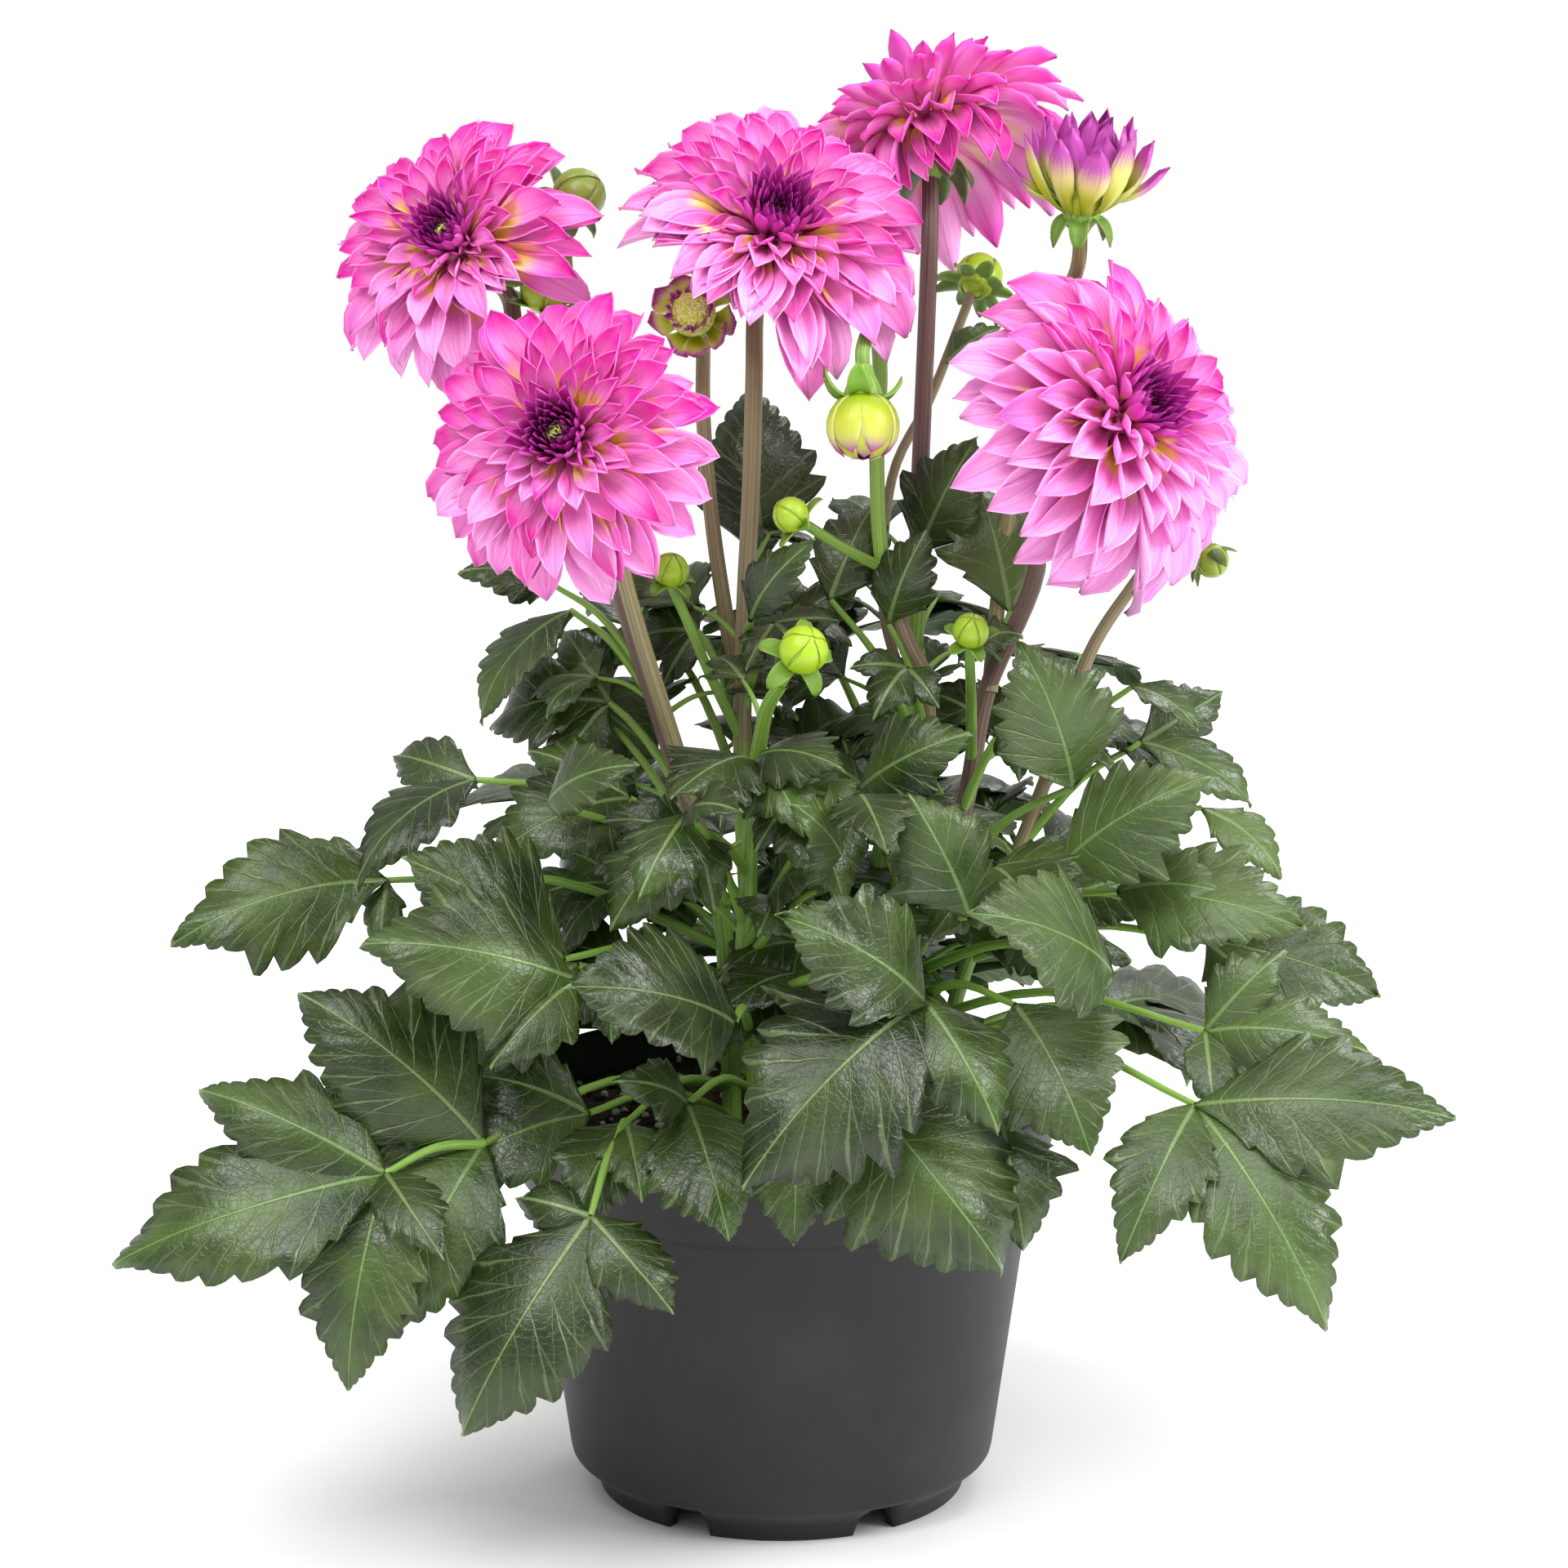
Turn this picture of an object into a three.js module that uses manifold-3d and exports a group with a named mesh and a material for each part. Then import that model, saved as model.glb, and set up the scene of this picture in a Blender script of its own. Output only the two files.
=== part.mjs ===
// A dahlia in flower in a plastic nursery pot. Sizes are in millimetres, +Z is up.
// The origin is on the pot's axis, on the surface that the pot stands on. The flowers face along -Y.
import * as THREE from "three";
import { mergeVertices } from "three/addons/utils/BufferGeometryUtils.js";
import Module from "manifold-3d";

const wasm = await Module();
wasm.setup();

// Pot
const RIM_RADIUS = 95;
const POT_HEIGHT = 140;
const COLLAR_HEIGHT = 33;
const COLLAR_TAPER = 6.5;
const COLLAR_STEP = 3.5;
const WALL = 1.7;
const WALL_FOOT_RADIUS = 71.5;
const WALL_FOOT_HEIGHT = 13;
const BASE_UNDERSIDE = 10;
const BASE_THICK = 2;
const FOOT_OUTER_RADIUS = 62;
const FOOT_INNER_RADIUS = 57;
const FOOT_COUNT = 6;
const NOTCH_WIDTH = 14;
const NOTCH_HEIGHT = 9.5;
const NOTCH_SLOPE = 3;
const DRAIN_RADIUS = 5;
const DRAIN_CIRCLE = 46;
const POT_SIDES = 24;
const DRAIN_SIDES = 8;

// Soil
const GAP = 0.3;
const SOIL_LEVEL = 126;
const SOIL_CROWN = 4;
const HOLE_RADIUS = 4.1;
const HOLE_SIDES = 6;

// Leaves and stems
const LEAF_THICK = 0.8;
const STALK_HALF_WIDTH = 1.3;
const NOTCH_REACH = 2.5;
const STEM_RADIUS = 3;
const FLOWER_STEM_RADIUS = 2.5;
const BUD_STEM_RADIUS = 1.7;
const STEM_STEP = 42;
const STEM_SIDES = 5;
const LEAF_ARCH = 0.13;
const LEAF_FOLD = -0.12;
const LEAF_WIDTH = 0.52;
const CUT_LEAF_SPREAD = 0.36;

// Flowers
const PETAL_COUNT = 21;
const PETAL_THICK = 0.7;
const PETAL_CUP = 0.42;
const INNER_PETAL_ANGLE = 0.62;
const WIDEST_ROOT_ANGLE = 1.68;
const ROOT_REACH = 0.26;
const GOLDEN_ANGLE = Math.PI * (3 - Math.sqrt(5));
const CORE_HEIGHT = 0.2;
const OUTER_PETAL_ANGLE = 1.85;
const CALYX_HEIGHT = 7;

// Which way the upper side of a leaf looks
const FRONT = [0, -0.8, 0.6];
const FRONT_LEFT = [-0.5, -0.65, 0.6];
const FRONT_RIGHT = [0.5, -0.65, 0.6];

const COLOURS = {
  pot: [0x454243, 0.55],
  soil: [0x3a2a20, 0.95],
  green: [0x2f4a2c, 0.45],
  pink: [0xf07ad2, 0.5],
  half_open: [0xd8d24a, 0.45],
  opening: [0xa9a84f, 0.5],
};

const vector = (point) => new THREE.Vector3(...point);
const mix = (a, b, t) => a + (b - a) * t;

// The same sequence of numbers from 0 to 1 for the same seed.
function randomFrom(seed) {
  let state = seed;
  return () => {
    state = (state * 1664525 + 1013904223) >>> 0;
    return state / 2 ** 32;
  };
}

// Two directions square to an axis.
function squareTo(axis) {
  const helper = Math.abs(axis.z) > 0.9 ? vector([1, 0, 0]) : vector([0, 0, 1]);
  const first = helper.clone().cross(axis).normalize();
  return [first, axis.clone().cross(first).normalize()];
}

// A closed mesh as a solid, without the triangles that have no area.
function solid(geometry) {
  const bare = geometry.clone();
  bare.deleteAttribute("normal");
  bare.deleteAttribute("uv");
  const merged = mergeVertices(bare, 1e-3);
  const corners = merged.index.array;
  const kept = [];
  for (let i = 0; i < corners.length; i += 3) {
    const [a, b, c] = corners.slice(i, i + 3);
    if (a !== b && b !== c && a !== c) kept.push(a, b, c);
  }
  const vertProperties = merged.attributes.position.array;
  return new wasm.Manifold(
    new wasm.Mesh({ numProp: 3, vertProperties, triVerts: new Uint32Array(kept) }),
  );
}

const fuse = (solids) => wasm.Manifold.union(solids);

function meshOf(name, made, colour) {
  const { vertProperties, triVerts } = made.getMesh();
  const geometry = new THREE.BufferGeometry();
  geometry.setAttribute("position", new THREE.BufferAttribute(vertProperties, 3));
  geometry.setIndex(new THREE.BufferAttribute(triVerts, 1));
  geometry.computeVertexNormals();
  const [color, roughness] = COLOURS[colour];
  const material = new THREE.MeshStandardMaterial({ color, roughness, metalness: 0 });
  const mesh = new THREE.Mesh(geometry, material);
  mesh.name = name;
  return mesh;
}

// A body turned round the Z axis from points of [radius, height].
function turned(profile, sides) {
  const points = profile.map(([radius, height]) => new THREE.Vector2(radius, height));
  return new THREE.LatheGeometry(points, sides).rotateX(Math.PI / 2);
}

// A turned body with lobes: its points lie on one profile at each lobe's middle, and on another
// between lobes.
function lobed(middle, between, lobes) {
  const geometry = new THREE.LatheGeometry(middle.map(([r, z]) => new THREE.Vector2(r, z)), 2 * lobes);
  const places = geometry.attributes.position;
  for (let i = 1; i < 2 * lobes; i += 2) {
    between.forEach(([radius, height], j) => {
      const angle = (Math.PI * i) / lobes;
      const x = radius * Math.sin(angle);
      places.setXYZ(i * middle.length + j, x, height, radius * Math.cos(angle));
    });
  }
  return geometry.rotateX(Math.PI / 2);
}

const scaled = (profile, size) => profile.map(([radius, height]) => [radius * size, height * size]);

// Puts a shape that was made round +Z at a place, looking along an axis.
function aimed(geometry, place, axis) {
  const turn = new THREE.Quaternion().setFromUnitVectors(vector([0, 0, 1]), axis);
  return geometry.applyQuaternion(turn).translate(place.x, place.y, place.z);
}

// A round stem along a smooth curve.
function tube(points, radius, sides = STEM_SIDES) {
  const path = new THREE.CatmullRomCurve3(points);
  const steps = Math.max(2, Math.round(path.getLength() / STEM_STEP));
  const ring = [];
  for (let i = 0; i < sides; i++) {
    const angle = (2 * Math.PI * i) / sides;
    ring.push(new THREE.Vector2(radius * Math.cos(angle), radius * Math.sin(angle)));
  }
  const options = { steps, bevelEnabled: false, extrudePath: path };
  return solid(new THREE.ExtrudeGeometry(new THREE.Shape(ring), options));
}

const stem = (points, radius, sides) => tube(points.map(vector), radius, sides);

// A thin closed sheet. A point is a place on the middle surface, with its share of the way from the
// first point to the last. Each half is split into the same triangles on both faces.
function sheet(right, left, middle, thick) {
  const facets = [];
  const facet = (a, b, c) => {
    if (a !== b && b !== c && a !== c) facets.push([a, b, c]);
  };
  const web = (border, mirrored) => {
    let [i, j] = [0, 0];
    while (i < border.length - 1 || j < middle.length - 1) {
      const onBorder = j === middle.length - 1
        || (i < border.length - 1 && border[i + 1].share <= middle[j + 1].share);
      const next = onBorder ? border[i + 1] : middle[j + 1];
      if (mirrored) facet(middle[j], next, border[i]);
      else facet(middle[j], border[i], next);
      if (onBorder) i++;
      else j++;
    }
  };
  web(right, false);
  web(left, true);
  const points = [...new Set(facets.flat())];
  points.forEach((point, i) => Object.assign(point, { number: 2 * i, normal: new THREE.Vector3() }));
  for (const corners of facets) {
    const triangle = new THREE.Triangle(...corners.map((point) => point.place));
    const normal = triangle.getNormal(new THREE.Vector3());
    for (const point of corners) point.normal.add(normal);
  }
  const positions = points.flatMap(({ place, normal }) => [thick / 2, -thick / 2].flatMap((half) => (
    place.clone().addScaledVector(normal.normalize(), half).toArray())));
  const index = facets.flatMap(([a, b, c]) => (
    [a.number, b.number, c.number, a.number + 1, c.number + 1, b.number + 1]));
  const rim = [...right, ...left.slice(1, -1).reverse()].map((point) => point.number);
  rim.forEach((a, i) => {
    const b = rim[(i + 1) % rim.length];
    index.push(a + 1, b + 1, b, a + 1, b, a);
  });
  const geometry = new THREE.BufferGeometry();
  geometry.setAttribute("position", new THREE.Float32BufferAttribute(positions, 3));
  return solid(geometry.setIndex(index));
}

// A thin blade along a bent line from root to tip. Half its outline is given as [share of the
// length, share of the half width], and rib gives the shares at which its middle line has a point.
function blade({ root, via, tip, face, halfWidth, outline, fold, thick }) {
  const line = new THREE.QuadraticBezierCurve3(root, via, tip);
  const at = (share, across) => {
    const along = line.getTangent(share);
    const side = along.clone().cross(face).normalize();
    const normal = side.clone().cross(along);
    const place = line.getPoint(share).addScaledVector(side, across * halfWidth);
    return { share, place: place.addScaledVector(normal, fold * Math.abs(across) * halfWidth) };
  };
  const [start, end] = [at(0, 0), at(1, 0)];
  const half = (sign) => [start, ...outline.edge.map(([share, width]) => at(share, sign * width)), end];
  return sheet(half(1), half(-1), [start, ...outline.rib.map((share) => at(share, 0)), end], thick);
}

// Half outlines of leaflets with teeth, of a leaf cut to its rib into three, and of petals
const LARGE_LEAFLET = {
  edge: [[0.15, 0.5], [0.38, 1], [0.46, 0.76], [0.66, 0.74], [0.73, 0.48]],
  rib: [0.36, 0.7],
};
const SMALL_LEAFLET = {
  edge: [[0.2, 0.62], [0.48, 1], [0.58, 0.7]],
  rib: [0.5],
};
const LARGE_SIDE_LEAFLET = [[0.42, 1], [0.56, 0.72]];
const SMALL_SIDE_LEAFLET = [[0.42, 1]];
const CUT_LEAF = {
  edge: [[0.02, 0.05], [0.38, 0.05], [0.42, 0.5], [0.58, 1], [0.6, 0.45], [0.61, 0.07], [0.78, 0.5]],
  rib: [0.38, 0.61],
};
const PETAL = { edge: [[0.42, 0.72], [0.72, 1]], rib: [0.55] };
const LARGE_LENGTH = 58;
const LARGE_SIDE_LENGTH = 45;

// The widest that a leaflet may be at a share of its length, in the angle to its neighbour.
const roomFor = (angle, share, length) => 0.92 * share * length * Math.tan(Math.min(angle, 1.2) / 2);

// A leaf in one thin sheet: its stalk from the foot to the knot, the leaflet that ends it, and
// more leaflets that leave the knot on both sides.
function leafSheet(foot, knot, tips, width, face) {
  const [last, ...others] = tips;
  const ahead = last.clone().sub(knot).normalize();
  const side = ahead.clone().cross(face).normalize();
  const normal = side.clone().cross(ahead);
  const reach = knot.distanceTo(last);
  const outline = reach > LARGE_LENGTH ? LARGE_LEAFLET : SMALL_LEAFLET;
  const bearing = (tip) => {
    const away = tip.clone().sub(knot);
    return Math.atan2(away.dot(side), away.dot(ahead));
  };
  const onLeaflet = (tip, along, across, share, lift = 0) => {
    const away = tip.clone().sub(knot);
    const out = away.clone().cross(normal).normalize();
    const place = knot.clone().addScaledVector(away, along).addScaledVector(out, across);
    return { place: place.addScaledVector(normal, lift + LEAF_FOLD * Math.abs(across)), share };
  };
  const onLast = ([along, across]) => {
    const arch = LEAF_ARCH * 4 * along * (1 - along) * reach;
    return onLeaflet(last, along, across, 1 + along, arch);
  };
  const stalk = stalkOf(foot, knot, ahead, side);
  const half = (sign) => {
    const onSide = others.filter((tip) => Math.sign(bearing(tip)) === sign)
      .sort((a, b) => Math.abs(bearing(b)) - Math.abs(bearing(a)));
    const chain = stalk.edge(sign);
    const push = (make) => chain.push(make(1 + 0.001 * chain.length));
    const turns = [Math.PI, ...onSide.map((tip) => Math.abs(bearing(tip))), 0];
    const widest = (tip, angle, along) => {
      const length = knot.distanceTo(tip);
      return sign * Math.min((width * length) / 2, roomFor(angle, along, length));
    };
    onSide.forEach((tip, i) => {
      const edge = knot.distanceTo(tip) > LARGE_SIDE_LENGTH ? LARGE_SIDE_LEAFLET : SMALL_SIDE_LEAFLET;
      const near = widest(tip, turns[i] - turns[i + 1], edge[0][0]);
      const far = widest(tip, turns[i + 1] - turns[i + 2], edge[0][0]);
      edge.forEach(([along, across]) => push((share) => onLeaflet(tip, along, across * near, share)));
      push((share) => ({ place: tip, share }));
      edge.toReversed().forEach(([along, across]) => (
        push((share) => onLeaflet(tip, along, -across * far, share))));
      const between = (turns[i + 1] + turns[i + 2]) / 2;
      const notch = knot.clone().addScaledVector(ahead, NOTCH_REACH * Math.cos(between));
      notch.addScaledVector(side, NOTCH_REACH * sign * Math.sin(between));
      push((share) => ({ place: notch, share }));
    });
    const widestLast = widest(last, turns.at(-2), outline.edge[1][0]);
    chain.push(...outline.edge.map(([along, across]) => onLast([along, across * widestLast])));
    return [...chain, end];
  };
  const end = { place: last, share: 2 };
  const rib = outline.rib.map((along) => onLast([along, 0]));
  return sheet(half(1), half(-1), [stalk.start, stalk.end, ...rib, end], LEAF_THICK);
}

// The stalk of a leaf: a strip that ends in the leaf's own plane at the knot.
function stalkOf(foot, knot, ahead, side) {
  const along = knot.clone().sub(foot).normalize();
  const turn = new THREE.Quaternion().setFromUnitVectors(ahead, along);
  const across = side.clone().applyQuaternion(turn);
  const length = foot.distanceTo(knot);
  const start = { place: foot, share: 0 };
  const corner = (distance, sign, share) => {
    const place = foot.clone().addScaledVector(along, distance);
    return { place: place.addScaledVector(across, sign * STALK_HALF_WIDTH), share };
  };
  return {
    start,
    end: { place: knot, share: 1 },
    edge: (sign) => [start, corner(0.5, sign, 0.02), corner(length - 2, sign, 0.98)],
  };
}

// The point of a stem's curve at a height, counted from its foot.
function atHeight(stalk, height) {
  const points = new THREE.CatmullRomCurve3(stalk.map(vector)).getPoints(120);
  return points.find((p) => p.z >= height) ?? points.at(-1);
}

// A leaf that grows from a stem at a height, or from a place.
function leafOn(bearer, { from, hub, tips, width = LEAF_WIDTH, face = FRONT }) {
  const foot = Array.isArray(from) ? vector(from) : atHeight(bearer, from);
  return leafSheet(foot, vector(hub), tips.map(vector), width, vector(face));
}

// A petal that stands out from a head's axis. Angles are from the axis, in radians, and reaches
// are from the head's centre.
function petal({ centre, axis, bearing, root, via, tip, halfWidth, cup }) {
  const [east, north] = squareTo(axis);
  const outward = east.multiplyScalar(Math.cos(bearing)).addScaledVector(north, Math.sin(bearing));
  const at = ([angle, reach]) => centre.clone()
    .addScaledVector(axis, Math.cos(angle) * reach)
    .addScaledVector(outward, Math.sin(angle) * reach);
  const face = axis.clone().multiplyScalar(Math.sin(tip[0])).addScaledVector(outward, -Math.cos(tip[0]));
  const line = { root: at(root), via: at(via), tip: at(tip) };
  return blade({ ...line, face, halfWidth, outline: PETAL, fold: cup, thick: PETAL_THICK });
}

// Half profiles of a head's core and of its closed heart, in shares of the head's radius, the
// heart's at the middle of a lobe and between two lobes
const CORE = [[0, -0.2], [0.16, -0.2], [0.31, 0], [0.22, 0.22], [0, 0.31]];
const CLOSED_LOBE = [[0, 0.1], [0.13, 0.15], [0.19, 0.34], [0.14, 0.54], [0.08, 0.4], [0, 0.38]];
const CLOSED_BETWEEN = [[0, 0.1], [0.13, 0.15], [0.15, 0.3], [0.12, 0.4], [0.08, 0.38], [0, 0.38]];

// A petalled head: each petal stands on the core and is turned by the golden angle from the one
// before, from the half upright ones round the heart to the long bent-back ones of the rim.
function headOfPetals({ centre, axis, radius, turn, outer = OUTER_PETAL_ANGLE }) {
  const place = vector(centre);
  const pole = vector(axis).normalize();
  const random = randomFrom(Math.round(turn * 1000));
  const parts = [
    solid(aimed(turned(scaled(CORE, radius), 7), place, pole)),
    whorl({ centre, axis, radius }, CLOSED_LOBE, CLOSED_BETWEEN, 5),
  ];
  for (let i = 0; i < PETAL_COUNT; i++) {
    const t = (i + 0.5) / PETAL_COUNT;
    const angle = mix(INNER_PETAL_ANGLE, outer, t ** 0.85);
    const length = radius * mix(0.68, 1, Math.min(1, t * 1.8)) * mix(0.96, 1.04, random());
    parts.push(petal({
      centre: place,
      axis: pole,
      bearing: turn + i * GOLDEN_ANGLE,
      root: [Math.min(angle * 0.9, WIDEST_ROOT_ANGLE), ROOT_REACH * radius],
      via: [angle * 0.7, 0.64 * length],
      tip: [angle, length],
      halfWidth: length * mix(0.18, 0.235, t),
      cup: PETAL_CUP,
    }));
  }
  return fuse(parts);
}

// The green cup under a head, with its pointed sepals, at the end of a stem.
function calyx({ centre, axis, radius, neckHeight = CALYX_HEIGHT }, sepals = 5) {
  const pole = vector(axis).normalize();
  const place = vector(centre).addScaledVector(pole, -CORE_HEIGHT * radius - GAP);
  const wide = Math.max(0.15 * radius, FLOWER_STEM_RADIUS + 1.5);
  const neck = FLOWER_STEM_RADIUS + 0.6;
  const foot = [[0, -neckHeight], [neck, -neckHeight], [wide + 1.5, -2.5]];
  const top = [[wide, 0], [0, 0]];
  const middle = [...foot, [0.34 * radius, -0.22 * radius], ...top];
  return [solid(aimed(lobed(middle, [...foot, [wide + 1, -1.2], ...top], sepals), place, pole))];
}

// The last stretch of a flower's stem, which meets its calyx along the head's axis.
function stemInto({ centre, axis, radius, neckHeight = CALYX_HEIGHT }, reach = 20) {
  const pole = vector(axis).normalize();
  const cup = CORE_HEIGHT * radius + neckHeight;
  const end = (distance) => vector(centre).addScaledVector(pole, -distance).toArray();
  return [end(cup + reach), end(cup - 2)];
}

// A closed green bud above its four spread sepals, on the end of a thin stem.
const BUD_TOP = [[1, 0.1], [0.7, 0.65], [0, 0.95]];
const BUD_LOBE = [[0, -0.95], [0.6, -0.8], [1.75, -0.35], [0.8, -0.5], ...BUD_TOP];
const BUD_BETWEEN = [[0, -0.95], [0.6, -0.8], [0.9, -0.6], [0.85, -0.45], ...BUD_TOP];

function greenBud({ centre, axis, radius }) {
  const body = lobed(scaled(BUD_LOBE, radius), scaled(BUD_BETWEEN, radius), 4);
  return [solid(aimed(body, vector(centre), vector(axis).normalize()))];
}

function budStem(points, { centre, axis, radius }) {
  const foot = vector(centre).addScaledVector(vector(axis).normalize(), -0.7 * radius);
  return stem([...points, foot.toArray()], BUD_STEM_RADIUS, 4);
}

// Flower heads, in the places where their stems hold them
const BLOOMS = {
  bloom_left: { centre: [-104, 0, 421], axis: [-0.39, -0.75, 0.54], radius: 45, turn: 0.3 },
  bloom_low_left: { centre: [-67, -60, 367], axis: [-0.26, -0.9, 0.34], radius: 47, turn: 1.1 },
  bloom_centre: { centre: [-3, -10, 425], axis: [0.15, -0.7, 0.7], radius: 50, turn: 2.3 },
  bloom_top: { centre: [53, 55, 454], axis: [0.02, 0.48, 0.88], radius: 48, turn: 0.9, outer: 2.2 },
  bloom_right: { centre: [106, -40, 371], axis: [0.65, -0.65, 0.39], radius: 54, turn: 1.7, outer: 2.1 },
};
const HALF_OPEN = { centre: [97, -10, 440], axis: [0.05, -0.12, 0.99], radius: 28 };
const OPENING = { centre: [-29, 20, 397], axis: [-0.15, -0.9, 0.4], radius: 13 };
const NODDING = { centre: [26, -45, 372], axis: [0, -0.35, -0.94], radius: 11.5 };

// The sizes of the calyxes of the two buds, as of heads of petals, and the nodding bud's long neck
const OPENING_CALYX = { ...OPENING, radius: 20 };
const NODDING_CALYX = { ...NODDING, radius: 26, neckHeight: 12 };

// Closed buds
const BUD_BEHIND_LEFT = { centre: [-67, 35, 435], axis: [0.7, -0.3, 0.6], radius: 8.5 };
const BUD_UNDER_LEFT = { centre: [-80, 25, 400], axis: [0.1, -0.3, 0.95], radius: 7 };
const BUD_STAR = { centre: [66, 46, 407], axis: [0.35, 0.7, 0.6], radius: 7.5 };
const BUD_SMALL = { centre: [3, -45, 341], axis: [-0.7, -0.3, 0.6], radius: 5.5 };
const BUD_ROUND = { centre: [7, -65, 301], axis: [0.35, -0.7, 0.6], radius: 7.5 };
const BUD_LOW_RIGHT = { centre: [61, -38, 302], axis: [0.1, -0.6, 0.8], radius: 5.5 };
const BUD_LOW_LEFT = { centre: [-36, -22, 319], axis: [0.2, -0.4, 0.9], radius: 5.5 };
const BUD_FAR_RIGHT = { centre: [143, 14, 316], axis: [0.4, -0.2, -0.9], radius: 5.5 };

// Stems, each from its foot in the soil upwards
const STEM_LEFT = [
  [-16, -14, 112], [-18, -12, 179], [-21, -15, 208], [-29, -15, 235], [-40, -12, 268],
  [-51, -5, 302], [-58, 0, 328], [-69, 6, 352], [-86, 12, 380],
];
const STEM_LOW_LEFT = [[-28, -14, 236], [-38, -26, 272], [-46, -31, 300], [-52, -35, 325]];
const STEM_BUD_BEHIND = [[-51, -5, 302], [-54, 10, 335], [-61, 22, 366], [-70, 31, 405]];
const STEM_BUD_UNDER = [[-58, 18, 352], [-70, 24, 372], [-78, 26, 388]];
const STEM_CENTRE = [
  [-8, 6, 112], [-9, 3, 175], [-12, 0, 218], [-13, -2, 260], [-12, -4, 303], [-10, -4, 343],
  [-9, 0, 378],
];
const STEM_OPENING = [[-12, -2, 258], [-18, 9, 295], [-23, 17, 328], [-26, 25, 362]];
const STEM_BUD_LOW_LEFT = [[-13, -2, 258], [-23, -10, 281], [-31, -18, 302]];
const STEM_NODDING = [
  [18, -16, 112], [23, -9, 155], [33, -8, 192], [46, -8, 234], [48, -10, 276], [41, -12, 295],
  [33, -12, 320], [31, -12, 355], [32, -12, 382], [30, -22, 399],
];
const STEM_BUD_SMALL = [[33, -12, 318], [19, -28, 328], [9, -38, 336]];
const STEM_TOP = [
  [14, 10, 112], [23, 7, 174], [36, 8, 230], [44, 15, 284], [46, 25, 338], [48, 34, 385],
];
const STEM_STAR = [[42, 13, 270], [34, 24, 300], [37, 36, 340], [50, 45, 366], [60, 44, 392]];
const STEM_RIGHT = [[32, -4, 112], [36, -4, 154], [47, -6, 197], [61, -4, 238], [68, 2, 274], [84, -3, 316]];
const STEM_HALF_OPEN = [[69, 1, 274], [73, 14, 312], [79, 17, 353], [90, 12, 396]];
const STEM_BUD_LOW_RIGHT = [[63, -2, 252], [62, -22, 275], [61, -34, 290]];
const STEM_FAR_RIGHT = [
  [46, 8, 112], [61, 4, 176], [75, 6, 208], [91, 12, 249], [103, 20, 283], [118, 25, 306],
  [130, 26, 322], [138, 22, 330],
];

// Leaves: from is the height at which the stalk leaves the stem, or the point where it does
const LEAVES_LEFT = [
  { from: 138, hub: [-95, -92, 146], tips: [[-150, -88, 198], [-125, -122, 90]] },
  {
    from: [-95, -92, 146], hub: [-125, -108, 141],
    tips: [[-185, -100, 165], [-210, -118, 110], [-140, -124, 75], [-108, -140, 122]],
  },
  { from: 142, hub: [-50, -82, 150], tips: [[-68, -112, 128], [-43, -112, 134]] },
  {
    from: [-50, -82, 150], hub: [-60, -118, 130],
    tips: [[-100, -140, 65], [-36, -134, 102], [-85, -108, 132]],
  },
  { from: 165, hub: [-65, -92, 200], tips: [[-130, -112, 215], [-90, -118, 178]], width: 0.62 },
  { from: 172, hub: [-70, -66, 200], tips: [[-120, -86, 235]], width: 0.75 },
  { from: 190, hub: [-130, -20, 215], tips: [[-200, -45, 205], [-170, -15, 222], [-132, -34, 194]] },
  { from: 222, hub: [-100, -25, 250], tips: [[-140, -52, 223], [-130, -2, 252]], face: FRONT_LEFT },
  { from: 272, hub: [-70, 10, 300], tips: [[-102, -8, 268]], face: FRONT_LEFT },
  { from: 280, hub: [-75, 15, 307], tips: [[-106, 4, 316]], face: FRONT_LEFT },
  { from: 200, hub: [-75, -60, 250], tips: [[-40, -88, 270]], width: 0.45 },
  { from: 215, hub: [-68, -22, 284], tips: [[-42, -48, 258]], width: 0.66 },
];
const STEM_FRONT = [
  [-4, -28, 112], [-12, -24, 181], [-11, -29, 211], [-10, -34, 237], [-8, -39, 258],
  [-5, -46, 277], [0, -54, 288],
];
const LEAVES_FRONT = [
  { from: 136, hub: [-30, -88, 158], tips: [[-15, -122, 124], [-50, -105, 172]], width: 0.7 },
  { from: 138, hub: [5, -90, 156], tips: [[5, -115, 120]], width: 0.7 },
  { from: 140, hub: [25, -100, 166], tips: [[65, -130, 114]], width: 0.78 },
  {
    from: 172, hub: [45, -104, 196],
    tips: [[0, -120, 231], [-15, -148, 154], [68, -130, 163]], width: 0.62,
  },
  { from: 158, hub: [-15, -90, 185], tips: [[-66, -128, 206]], width: 0.66 },
  { from: 198, hub: [-30, -75, 250], tips: [[-42, -108, 232], [-14, -100, 256]] },
  { from: 252, hub: [-9, -42, 260], tips: [[-31, -90, 258], [16, -80, 266], [6, -84, 249]] },
  { from: 184, hub: [20, -60, 225], tips: [[5, -90, 256]], width: 0.6 },
  { from: 190, hub: [25, -70, 255], tips: [[32, -105, 244]], width: 0.6 },
];
const LEAVES_NODDING = [
  { from: 215, hub: [25, -40, 250], tips: [[60, -60, 270]], width: 0.6 },
  { from: 262, hub: [35, -14, 300], tips: [[45, -22, 332]] },
  { from: 250, hub: [16, -14, 308], tips: [[30, 4, 338]] },
];
const LEAVES_CENTRE = [
  { from: 286, hub: [-6, 20, 315], tips: [[-15, 32, 370]], width: 0.62 },
  { from: 280, hub: [-10, -34, 305], tips: [[9, -50, 336]], width: 0.4 },
];
const LEAVES_TOP = [
  { from: 280, hub: [46, 21, 318], tips: [[66, 16, 356]] },
];
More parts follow.
